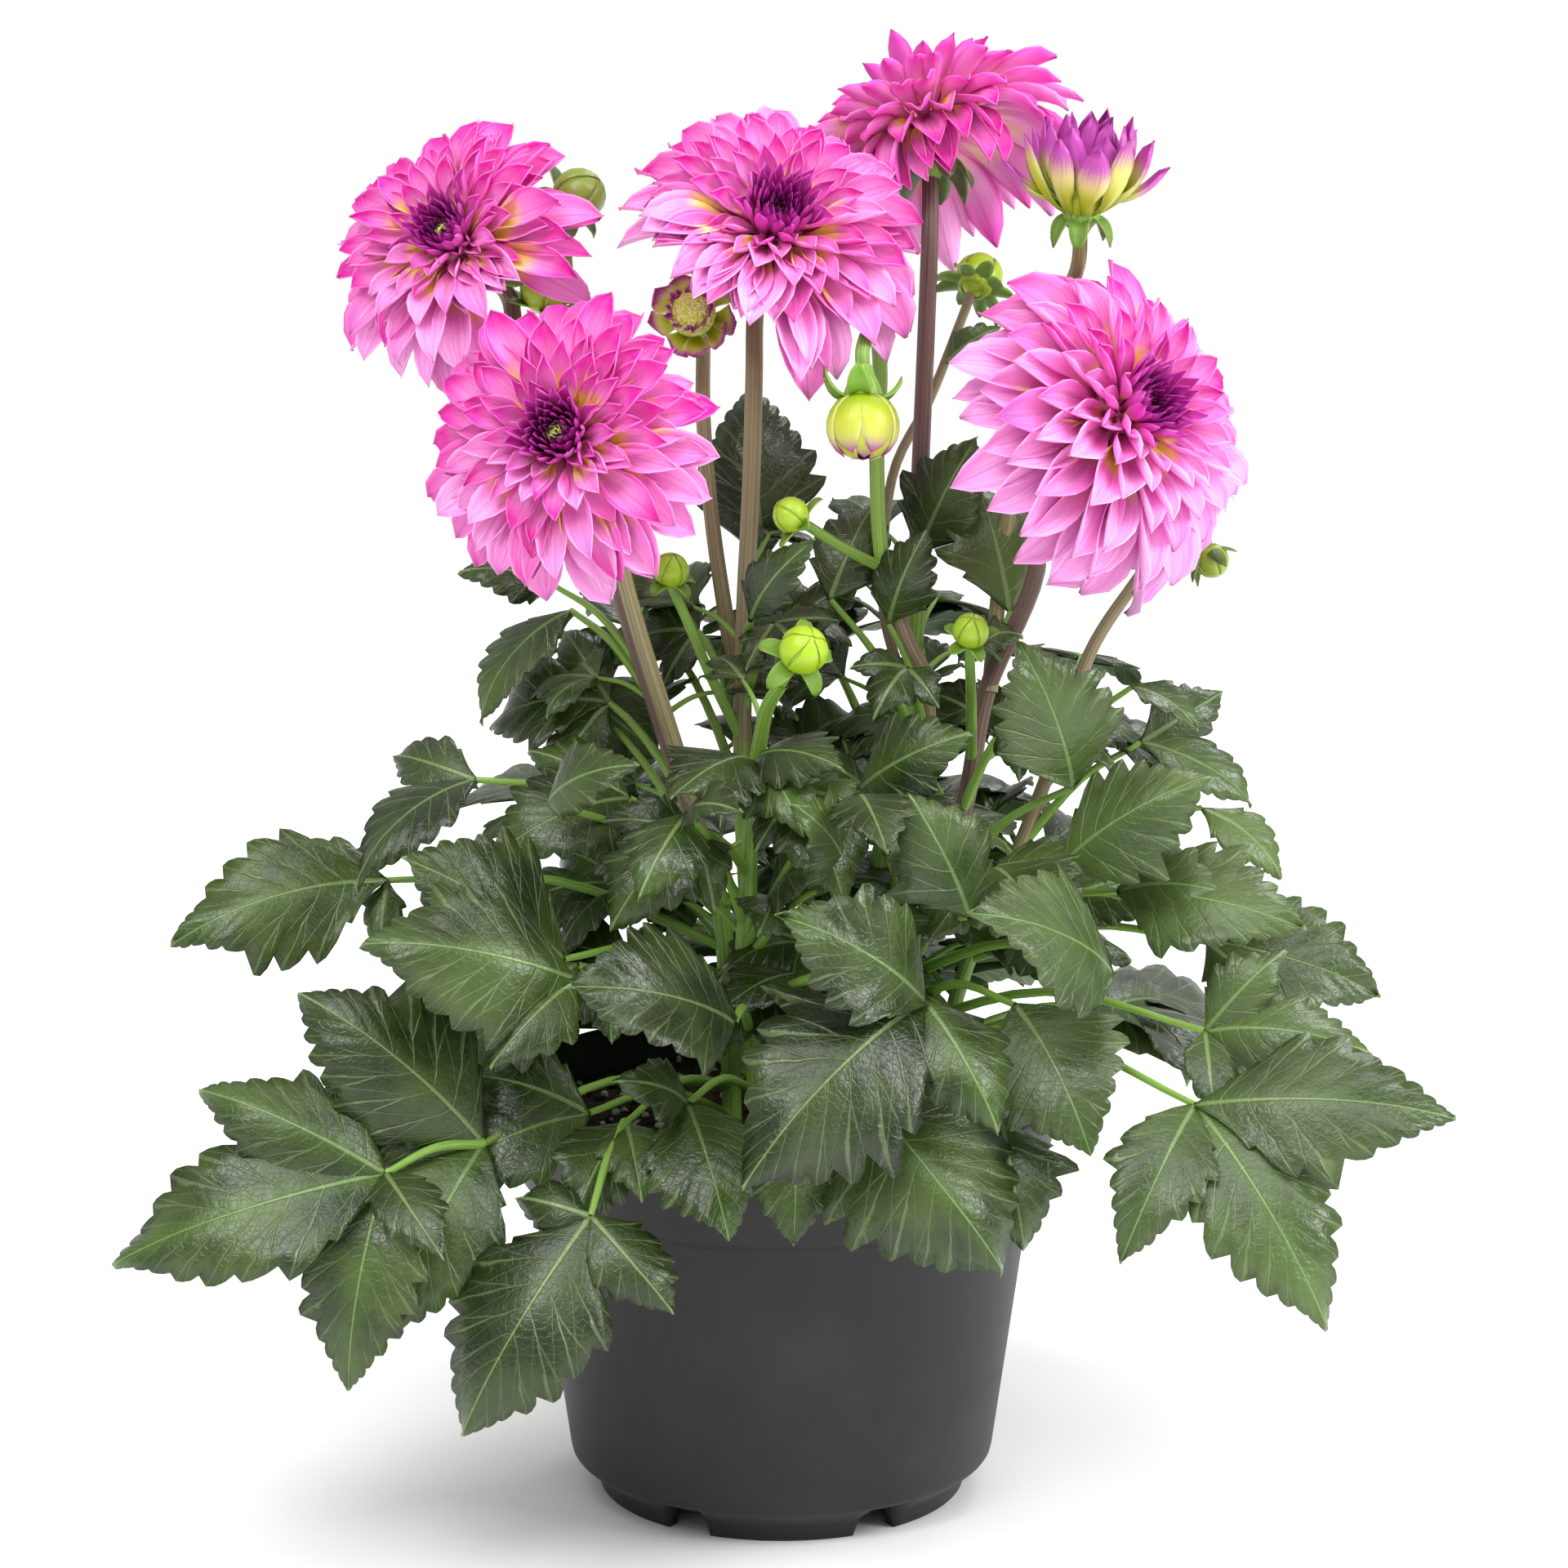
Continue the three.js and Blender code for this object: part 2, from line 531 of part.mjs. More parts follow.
const LEAVES_RIGHT = [
  { from: 174, hub: [60, -70, 215], tips: [[40, -78, 256]], width: 0.66 },
  { from: 178, hub: [105, -82, 200], tips: [[60, -122, 226]], width: 0.66 },
  { from: 198, hub: [95, -35, 250], tips: [[80, -42, 301]], width: 0.66 },
  { from: 192, hub: [90, -44, 225], tips: [[136, -60, 260]], width: 0.6 },
  { from: 262, hub: [76, 8, 300], tips: [[66, 28, 341]], width: 0.6 },
  {
    from: 156, hub: [135, -84, 181],
    tips: [[160, -84, 207], [186, -102, 182], [134, -108, 160]], width: 0.5,
  },
  { from: 150, hub: [130, -110, 164], tips: [[210, -124, 163], [170, -148, 104], [104, -142, 124]] },
  { from: 165, hub: [75, -75, 187], tips: [[100, -110, 150]], width: 0.75 },
  { from: 140, hub: [70, -88, 154], tips: [[76, -112, 118]], width: 0.66 },
];
const LEAVES_FAR_RIGHT = [
  { from: 214, hub: [120, 10, 255], tips: [[156, 0, 235], [150, 26, 267]], face: FRONT_RIGHT },
  { from: 240, hub: [116, 0, 276], tips: [[137, -12, 264]], face: FRONT_RIGHT },
  { from: 204, hub: [140, 0, 235], tips: [[166, -12, 214]], face: FRONT_RIGHT },
  { from: 184, hub: [110, -36, 215], tips: [[146, -56, 222], [166, -70, 208]] },
  { from: 178, hub: [140, -28, 196], tips: [[196, -40, 180], [160, -52, 178]] },
];

// A stalked leaf cut into three leaflets, arched over a point above its middle.
function cutLeaf(bearer, { from, via, tip, face = FRONT }) {
  const root = atHeight(bearer, from);
  const line = { root, via: vector(via), tip: vector(tip), face: vector(face) };
  const halfWidth = CUT_LEAF_SPREAD * root.distanceTo(line.tip);
  return blade({ ...line, halfWidth, outline: CUT_LEAF, fold: LEAF_FOLD, thick: LEAF_THICK });
}

// Tiers of leaves on the side away from the flowers: where they leave the stem, and where they end
const BACK_TIERS = [
  { from: 142, rise: 178, midRadius: 80, radius: 147, tipHeight: 122 },
  { from: 188, rise: 250, midRadius: 62, radius: 122, tipHeight: 208 },
  { from: 238, rise: 312, midRadius: 40, radius: 88, tipHeight: 290 },
];

// Leaves that lean out round the crown, at bearings in degrees from +X, in tiers.
function backLeaves(bearer, crown, bearings, seed) {
  const random = randomFrom(seed);
  return BACK_TIERS.flatMap((tier, level) => bearings[level].map((bearing) => {
    const angle = THREE.MathUtils.degToRad(bearing);
    const out = [Math.cos(angle), Math.sin(angle)];
    const drop = mix(-9, 9, random());
    const at = (reach, height) => [...out.map((value, i) => crown[i] + value * reach), height + drop];
    return cutLeaf(bearer, {
      from: tier.from + drop,
      via: at(tier.midRadius, tier.rise),
      tip: at(tier.radius, tier.tipHeight),
      face: [...out.map((value) => 0.6 * value), 0.8],
    });
  }));
}

// Leaves that fill the middle of the bush
const INNER_LEFT = [
  { from: 205, via: [-55, -25, 275], tip: [-92, -50, 228] },
  { from: 235, via: [-62, 0, 300], tip: [-98, 12, 262] },
];
const INNER_FRONT = [
  { from: 215, via: [-30, -60, 262], tip: [-55, -78, 215] },
  { from: 228, via: [12, -58, 280], tip: [20, -78, 222] },
];
const INNER_CENTRE = [
  { from: 255, via: [-30, 10, 320], tip: [-52, 20, 285] },
  { from: 265, via: [0, -20, 330], tip: [12, -38, 285] },
];
const INNER_NODDING = [
  { from: 205, via: [38, -42, 275], tip: [42, -66, 224] },
  { from: 252, via: [40, -30, 315], tip: [30, -44, 275] },
];
const INNER_RIGHT = [
  { from: 232, via: [80, -22, 300], tip: [104, -34, 262] },
  { from: 186, via: [80, -45, 255], tip: [88, -82, 200] },
];

const leavesOf = (bearer, leaves) => leaves.map((leaf) => leafOn(bearer, leaf));

const shootLeft = () => fuse([
  stem([...STEM_LEFT, ...stemInto(BLOOMS.bloom_left)], STEM_RADIUS),
  stem([...STEM_LOW_LEFT, ...stemInto(BLOOMS.bloom_low_left)], FLOWER_STEM_RADIUS),
  budStem(STEM_BUD_BEHIND, BUD_BEHIND_LEFT),
  budStem(STEM_BUD_UNDER, BUD_UNDER_LEFT),
  ...calyx(BLOOMS.bloom_left),
  ...calyx(BLOOMS.bloom_low_left),
  ...greenBud(BUD_BEHIND_LEFT),
  ...greenBud(BUD_UNDER_LEFT),
  ...leavesOf(STEM_LEFT, LEAVES_LEFT),
  ...INNER_LEFT.map((leaf) => cutLeaf(STEM_LEFT, leaf)),
]);

const shootFront = () => fuse([
  stem(STEM_FRONT, STEM_RADIUS),
  budStem([[-5, -46, 277], [0, -54, 288]], BUD_ROUND),
  ...greenBud(BUD_ROUND),
  ...leavesOf(STEM_FRONT, LEAVES_FRONT),
  ...INNER_FRONT.map((leaf) => cutLeaf(STEM_FRONT, leaf)),
]);

const shootCentre = () => fuse([
  stem([...STEM_CENTRE, ...stemInto(BLOOMS.bloom_centre)], STEM_RADIUS),
  stem([...STEM_OPENING, ...stemInto(OPENING_CALYX, 8)], FLOWER_STEM_RADIUS),
  budStem(STEM_BUD_LOW_LEFT, BUD_LOW_LEFT),
  ...calyx(BLOOMS.bloom_centre),
  ...calyx(OPENING_CALYX),
  ...greenBud(BUD_LOW_LEFT),
  ...leavesOf(STEM_CENTRE, LEAVES_CENTRE),
  ...INNER_CENTRE.map((leaf) => cutLeaf(STEM_CENTRE, leaf)),
  ...backLeaves(STEM_CENTRE, [-10, 4], [[110, 146, 178], [124, 162], [132]], 11),
]);

const shootNodding = () => fuse([
  stem([...STEM_NODDING, ...stemInto(NODDING_CALYX, 6)], FLOWER_STEM_RADIUS),
  budStem(STEM_BUD_SMALL, BUD_SMALL),
  ...calyx(NODDING_CALYX),
  ...greenBud(BUD_SMALL),
  ...leavesOf(STEM_NODDING, LEAVES_NODDING),
  ...INNER_NODDING.map((leaf) => cutLeaf(STEM_NODDING, leaf)),
]);

const shootTop = () => fuse([
  stem([...STEM_TOP, ...stemInto(BLOOMS.bloom_top)], STEM_RADIUS),
  budStem(STEM_STAR, BUD_STAR),
  ...calyx(BLOOMS.bloom_top, 7),
  ...greenBud(BUD_STAR),
  ...leavesOf(STEM_TOP, LEAVES_TOP),
  ...backLeaves(STEM_TOP, [12, 6], [[46, 78], [52, 84], [62, 98]], 12),
]);

const shootRight = () => fuse([
  stem([...STEM_RIGHT, ...stemInto(BLOOMS.bloom_right)], STEM_RADIUS),
  stem([...STEM_HALF_OPEN, ...stemInto(HALF_OPEN, 12)], FLOWER_STEM_RADIUS),
  budStem(STEM_BUD_LOW_RIGHT, BUD_LOW_RIGHT),
  ...calyx(BLOOMS.bloom_right),
  ...calyx(HALF_OPEN, 6),
  ...greenBud(BUD_LOW_RIGHT),
  ...leavesOf(STEM_RIGHT, LEAVES_RIGHT),
  ...INNER_RIGHT.map((leaf) => cutLeaf(STEM_RIGHT, leaf)),
]);

const shootFarRight = () => fuse([
  stem([...STEM_FAR_RIGHT, BUD_FAR_RIGHT.centre], FLOWER_STEM_RADIUS),
  ...greenBud(BUD_FAR_RIGHT),
  ...leavesOf(STEM_FAR_RIGHT, LEAVES_FAR_RIGHT),
  ...backLeaves(STEM_FAR_RIGHT, [30, 8], [[-2, 22], [18], []], 13),
]);

// Half profiles of the whorls of the half-open flower, of the opening bud and of the nodding bud, in
// shares of their size, at the middle of a petal or scale and between two of them
const CUP_LOBE = [
  [0, -0.2], [0.16, -0.2], [0.5, 0.12], [0.56, 0.5], [0.46, 0.92], [0.46, 0.5], [0.3, 0.2], [0, 0.1],
];
const CUP_BETWEEN = [
  [0, -0.2], [0.15, -0.2], [0.44, 0.12], [0.52, 0.42], [0.5, 0.56], [0.45, 0.44], [0.28, 0.2], [0, 0.1],
];
const HEART_LOBE = [[0, 0], [0.2, 0.05], [0.38, 0.5], [0.2, 1], [0.12, 0.6], [0, 0.55]];
const HEART_BETWEEN = [[0, 0], [0.2, 0.05], [0.32, 0.48], [0.27, 0.66], [0.14, 0.6], [0, 0.55]];
const SHORT_LOBE = [[0, -0.3], [0.2, -0.3], [0.66, 0], [0.78, 0.66], [0.5, 0.5], [0, 0.62]];
const SHORT_BETWEEN = [[0, -0.3], [0.2, -0.3], [0.6, 0], [0.66, 0.34], [0.48, 0.46], [0, 0.62]];
const SCALE_LOBE = [[0, -0.2], [0.4, -0.2], [0.92, 0.15], [0.86, 0.7], [0.78, 0.24], [0, 0.1]];
const SCALE_BETWEEN = [[0, -0.2], [0.4, -0.2], [0.86, 0.1], [0.9, 0.34], [0.76, 0.2], [0, 0.1]];
const WRAP_LOBE = [[0, -0.45], [0.35, -0.45], [0.95, -0.1], [0.98, 0.3], [0.5, 0.84], [0, 0.92]];
const WRAP_BETWEEN = [[0, -0.45], [0.35, -0.45], [0.82, -0.1], [0.84, 0.3], [0.42, 0.8], [0, 0.92]];

function whorl({ centre, axis, radius }, middle, between, lobes, turn = 0) {
  const body = lobed(scaled(middle, radius), scaled(between, radius), lobes).rotateZ(turn);
  return solid(aimed(body, vector(centre), vector(axis).normalize()));
}

// A half-open flower: a cup of upright petals round a closed heart, with one petal bent out on
// each side.
function halfOpenFlower() {
  const { centre, axis, radius } = HALF_OPEN;
  const bent = (bearing) => petal({
    centre: vector(centre),
    axis: vector(axis).normalize(),
    bearing,
    root: [1.5, 0.3 * radius],
    via: [1.4, 0.9 * radius],
    tip: [0.98, 1.16 * radius],
    halfWidth: 0.24 * radius,
    cup: 0.3,
  });
  return fuse([
    whorl(HALF_OPEN, CUP_LOBE, CUP_BETWEEN, 8),
    whorl(HALF_OPEN, HEART_LOBE, HEART_BETWEEN, 6, 0.3),
    bent(Math.PI / 2),
    bent(-Math.PI / 2),
  ]);
}

// A bud that has begun to open: a round eye in a ring of short petals, wrapped in wide scales.
const openingBud = () => fuse([
  whorl(OPENING, SHORT_LOBE, SHORT_BETWEEN, 8),
  whorl(OPENING, SCALE_LOBE, SCALE_BETWEEN, 6, 0.3),
]);

// A plump bud that hangs its head, wrapped in wide scales.
const noddingBud = () => whorl(NODDING, WRAP_LOBE, WRAP_BETWEEN, 7);

function pot() {
  const collarFoot = POT_HEIGHT - COLLAR_HEIGHT;
  const collarRadius = RIM_RADIUS - COLLAR_TAPER;
  const waist = collarRadius - COLLAR_STEP;
  const shell = turned([
    [0, BASE_UNDERSIDE], [FOOT_INNER_RADIUS - 1, BASE_UNDERSIDE], [FOOT_INNER_RADIUS, 0],
    [FOOT_OUTER_RADIUS, 0], [FOOT_OUTER_RADIUS + 1.5, 6], [WALL_FOOT_RADIUS, WALL_FOOT_HEIGHT],
    [waist, collarFoot], [collarRadius, collarFoot + COLLAR_STEP], [RIM_RADIUS, POT_HEIGHT],
    [RIM_RADIUS - WALL, POT_HEIGHT], [collarRadius - WALL, collarFoot + COLLAR_STEP + 1],
    [waist - WALL, collarFoot + 1], [WALL_FOOT_RADIUS - WALL, WALL_FOOT_HEIGHT + 2],
    [FOOT_OUTER_RADIUS, BASE_UNDERSIDE + BASE_THICK], [0, BASE_UNDERSIDE + BASE_THICK],
  ], POT_SIDES);
  const half = NOTCH_WIDTH / 2;
  const gap = new THREE.Shape([
    new THREE.Vector2(-half - NOTCH_SLOPE, -1), new THREE.Vector2(half + NOTCH_SLOPE, -1),
    new THREE.Vector2(half, NOTCH_HEIGHT), new THREE.Vector2(-half, NOTCH_HEIGHT),
  ]);
  const cuts = [];
  for (let i = 0; i < FOOT_COUNT; i++) {
    const bearing = (2 * Math.PI * (i + 0.5)) / FOOT_COUNT;
    const notch = new THREE.ExtrudeGeometry(gap, { depth: 30, bevelEnabled: false });
    notch.rotateX(Math.PI / 2).translate(0, -FOOT_INNER_RADIUS + 8, 0).rotateZ(bearing);
    const drain = new THREE.CylinderGeometry(DRAIN_RADIUS, DRAIN_RADIUS, 3 * BASE_THICK, DRAIN_SIDES);
    drain.rotateX(Math.PI / 2).translate(0, -DRAIN_CIRCLE, BASE_UNDERSIDE + 1).rotateZ(bearing);
    cuts.push(solid(notch), solid(drain));
  }
  return solid(shell).subtract(fuse(cuts));
}

// The soil fills the pot, with a plain hole for each stem.
function soil() {
  const collarFoot = POT_HEIGHT - COLLAR_HEIGHT;
  const inside = WALL + GAP;
  const collarRadius = RIM_RADIUS - COLLAR_TAPER;
  const waist = collarRadius - COLLAR_STEP;
  const rise = (SOIL_LEVEL - collarFoot - COLLAR_STEP) / (COLLAR_HEIGHT - COLLAR_STEP);
  const body = turned([
    [0, BASE_UNDERSIDE + BASE_THICK + GAP], [FOOT_OUTER_RADIUS - GAP, BASE_UNDERSIDE + BASE_THICK + GAP],
    [WALL_FOOT_RADIUS - inside, WALL_FOOT_HEIGHT + 2.5], [waist - inside, collarFoot + 1],
    [collarRadius + rise * COLLAR_TAPER - inside - 0.4, SOIL_LEVEL], [0, SOIL_LEVEL + SOIL_CROWN],
  ], POT_SIDES);
  const feet = [STEM_LEFT, STEM_FRONT, STEM_CENTRE, STEM_NODDING, STEM_TOP, STEM_RIGHT, STEM_FAR_RIGHT];
  const holes = feet.map((stem) => {
    const points = new THREE.CatmullRomCurve3(stem.map(vector)).getPoints(60);
    const top = points.find((p) => p.z > SOIL_LEVEL + SOIL_CROWN + 6);
    const foot = points[0].clone();
    const along = top.clone().sub(foot).normalize();
    foot.addScaledVector(along, -GAP);
    const depth = top.distanceTo(foot);
    const hole = new THREE.CylinderGeometry(HOLE_RADIUS, HOLE_RADIUS, depth, HOLE_SIDES);
    return solid(aimed(hole.rotateX(Math.PI / 2), foot.addScaledVector(along, depth / 2), along));
  });
  return solid(body).subtract(fuse(holes));
}

const group = new THREE.Group();
const add = (name, made, colour) => group.add(meshOf(name, made, colour));
add("pot", pot(), "pot");
add("soil", soil(), "soil");
add("shoot_left", shootLeft(), "green");
add("shoot_front", shootFront(), "green");
add("shoot_centre", shootCentre(), "green");
add("shoot_nodding", shootNodding(), "green");
add("shoot_top", shootTop(), "green");
add("shoot_right", shootRight(), "green");
add("shoot_far_right", shootFarRight(), "green");
for (const [name, bloom] of Object.entries(BLOOMS)) add(name, headOfPetals(bloom), "pink");
add("flower_half_open", halfOpenFlower(), "half_open");
add("bud_opening", openingBud(), "opening");
add("bud_nodding", noddingBud(), "half_open");

export default group;
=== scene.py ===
# A dahlia in flower in its nursery pot. Shapes are made in millimetres in the model's own frame, with
# +Z up and the flowers facing -Y, and each finished piece is scaled to metres.
import math
import random

import bmesh
import bpy
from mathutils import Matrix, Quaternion, Vector, noise


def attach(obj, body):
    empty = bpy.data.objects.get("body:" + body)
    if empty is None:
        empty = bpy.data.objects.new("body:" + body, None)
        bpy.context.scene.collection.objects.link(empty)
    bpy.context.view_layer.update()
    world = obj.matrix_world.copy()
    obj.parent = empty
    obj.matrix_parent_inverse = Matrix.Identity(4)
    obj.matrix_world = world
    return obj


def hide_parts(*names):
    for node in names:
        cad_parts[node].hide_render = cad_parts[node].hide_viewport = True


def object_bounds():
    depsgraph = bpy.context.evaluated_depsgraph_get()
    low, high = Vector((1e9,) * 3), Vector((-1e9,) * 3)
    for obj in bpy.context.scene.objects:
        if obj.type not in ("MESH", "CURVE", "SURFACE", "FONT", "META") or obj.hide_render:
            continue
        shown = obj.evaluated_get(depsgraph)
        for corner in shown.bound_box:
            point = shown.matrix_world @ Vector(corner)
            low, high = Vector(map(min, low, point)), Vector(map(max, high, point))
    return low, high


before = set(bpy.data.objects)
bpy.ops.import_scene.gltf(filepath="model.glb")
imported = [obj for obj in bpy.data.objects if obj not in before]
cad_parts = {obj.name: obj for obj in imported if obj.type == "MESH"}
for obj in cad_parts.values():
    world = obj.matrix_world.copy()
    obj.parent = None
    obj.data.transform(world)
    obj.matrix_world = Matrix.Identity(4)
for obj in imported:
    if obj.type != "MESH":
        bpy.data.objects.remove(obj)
CAD_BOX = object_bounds()
MM = 0.001
TAU = 2 * math.pi
GOLDEN_ANGLE = math.pi * (3 - math.sqrt(5))
UP = Vector((0, 0, 1))

# Which way the upper side of a leaf looks
FRONT = (0, -0.8, 0.6)
FRONT_LEFT = (-0.5, -0.65, 0.6)
FRONT_RIGHT = (0.5, -0.65, 0.6)

# Flower heads, in the places where their stems hold them. A loose head has uneven petals.
BLOOMS = {
    "bloom_left": dict(centre=(-104, 0, 421), axis=(-0.39, -0.75, 0.54), radius=45, turn=0.3, deep=0.66,
                       loose=1.1, eye=True, crowded=(0.62, -0.1, -0.75), tucked=0.8),
    "bloom_low_left": dict(centre=(-67, -60, 367), axis=(-0.26, -0.9, 0.34), radius=47, turn=1.1,
                           deep=0.62, loose=1.1, eye=True),
    "bloom_centre": dict(centre=(-3, -10, 425), axis=(0.15, -0.7, 0.7), radius=51, turn=2.3, deep=0.5,
                         loose=0.8, broad=1.06, crowded=(-0.72, -0.49, -0.49), tucked=0.92),
    "bloom_top": dict(centre=(50, 55, 454), axis=(0.02, 0.48, 0.88), radius=50, turn=0.9, outer=2.2,
                      deep=0.72, loose=0.7, draped=(-0.3, -0.95, 0), lean=(-0.3, 0.1, 0), least=0.66),
    "bloom_right": dict(centre=(106, -40, 371), axis=(0.65, -0.65, 0.39), radius=54, turn=1.7,
                        outer=2.1, deep=0.24, loose=0.6, broad=1.12),
}
HALF_OPEN = dict(centre=(97, -10, 440), axis=(0.05, -0.12, 0.99), radius=28)
OPENING = dict(centre=(-29, 20, 397), axis=(-0.15, -0.9, 0.4), radius=13)
OPENING_CALYX = {**OPENING, "radius": 20}
NODDING = dict(centre=(26, -45, 372), axis=(0, -0.35, -0.94), radius=11.5)
NODDING_CALYX = {**NODDING, "radius": 26, "neck": 12}

LEAF_WIDTH = 0.6
LEAF_THICK = 0.45
PETAL_THICK = 0.35
STEM_RADIUS = 3.0
FLOWER_STEM_RADIUS = 2.5
BUD_STEM_RADIUS = 1.7
STALK_RADIUS = 1.45
FILLING_STALK_RADIUS = 1.0
STALK_RIPENESS = 0.12
STALK_SIDES = 8
STALK_SWELLING = 1.35
LARGE_LEAFLET = 60
VEIN_SHARE = 0.88
CORE_HEIGHT = 0.2
CALYX_HEIGHT = 7

# How far a filling leaf may point to the front, as the y of its direction, below and above a height
CLEAR_FRONT = -0.85
CLEAR_ABOVE = 205
CLEAR_UPPER_FRONT = 0.0

# What the seeded draws of each part start from. Each shoot has its own, one after the other.
SEEDS = {"shoots": 100, "half_open": 5, "opening": 6, "nodding": 8, "soil": 21}

# Tiers of leaves on the side away from the flowers: height on the stem, rise, middle reach, reach
# and height of the tips
BACK_TIERS = [(142, 178, 80, 147, 122), (188, 250, 62, 122, 208), (238, 312, 40, 88, 290)]

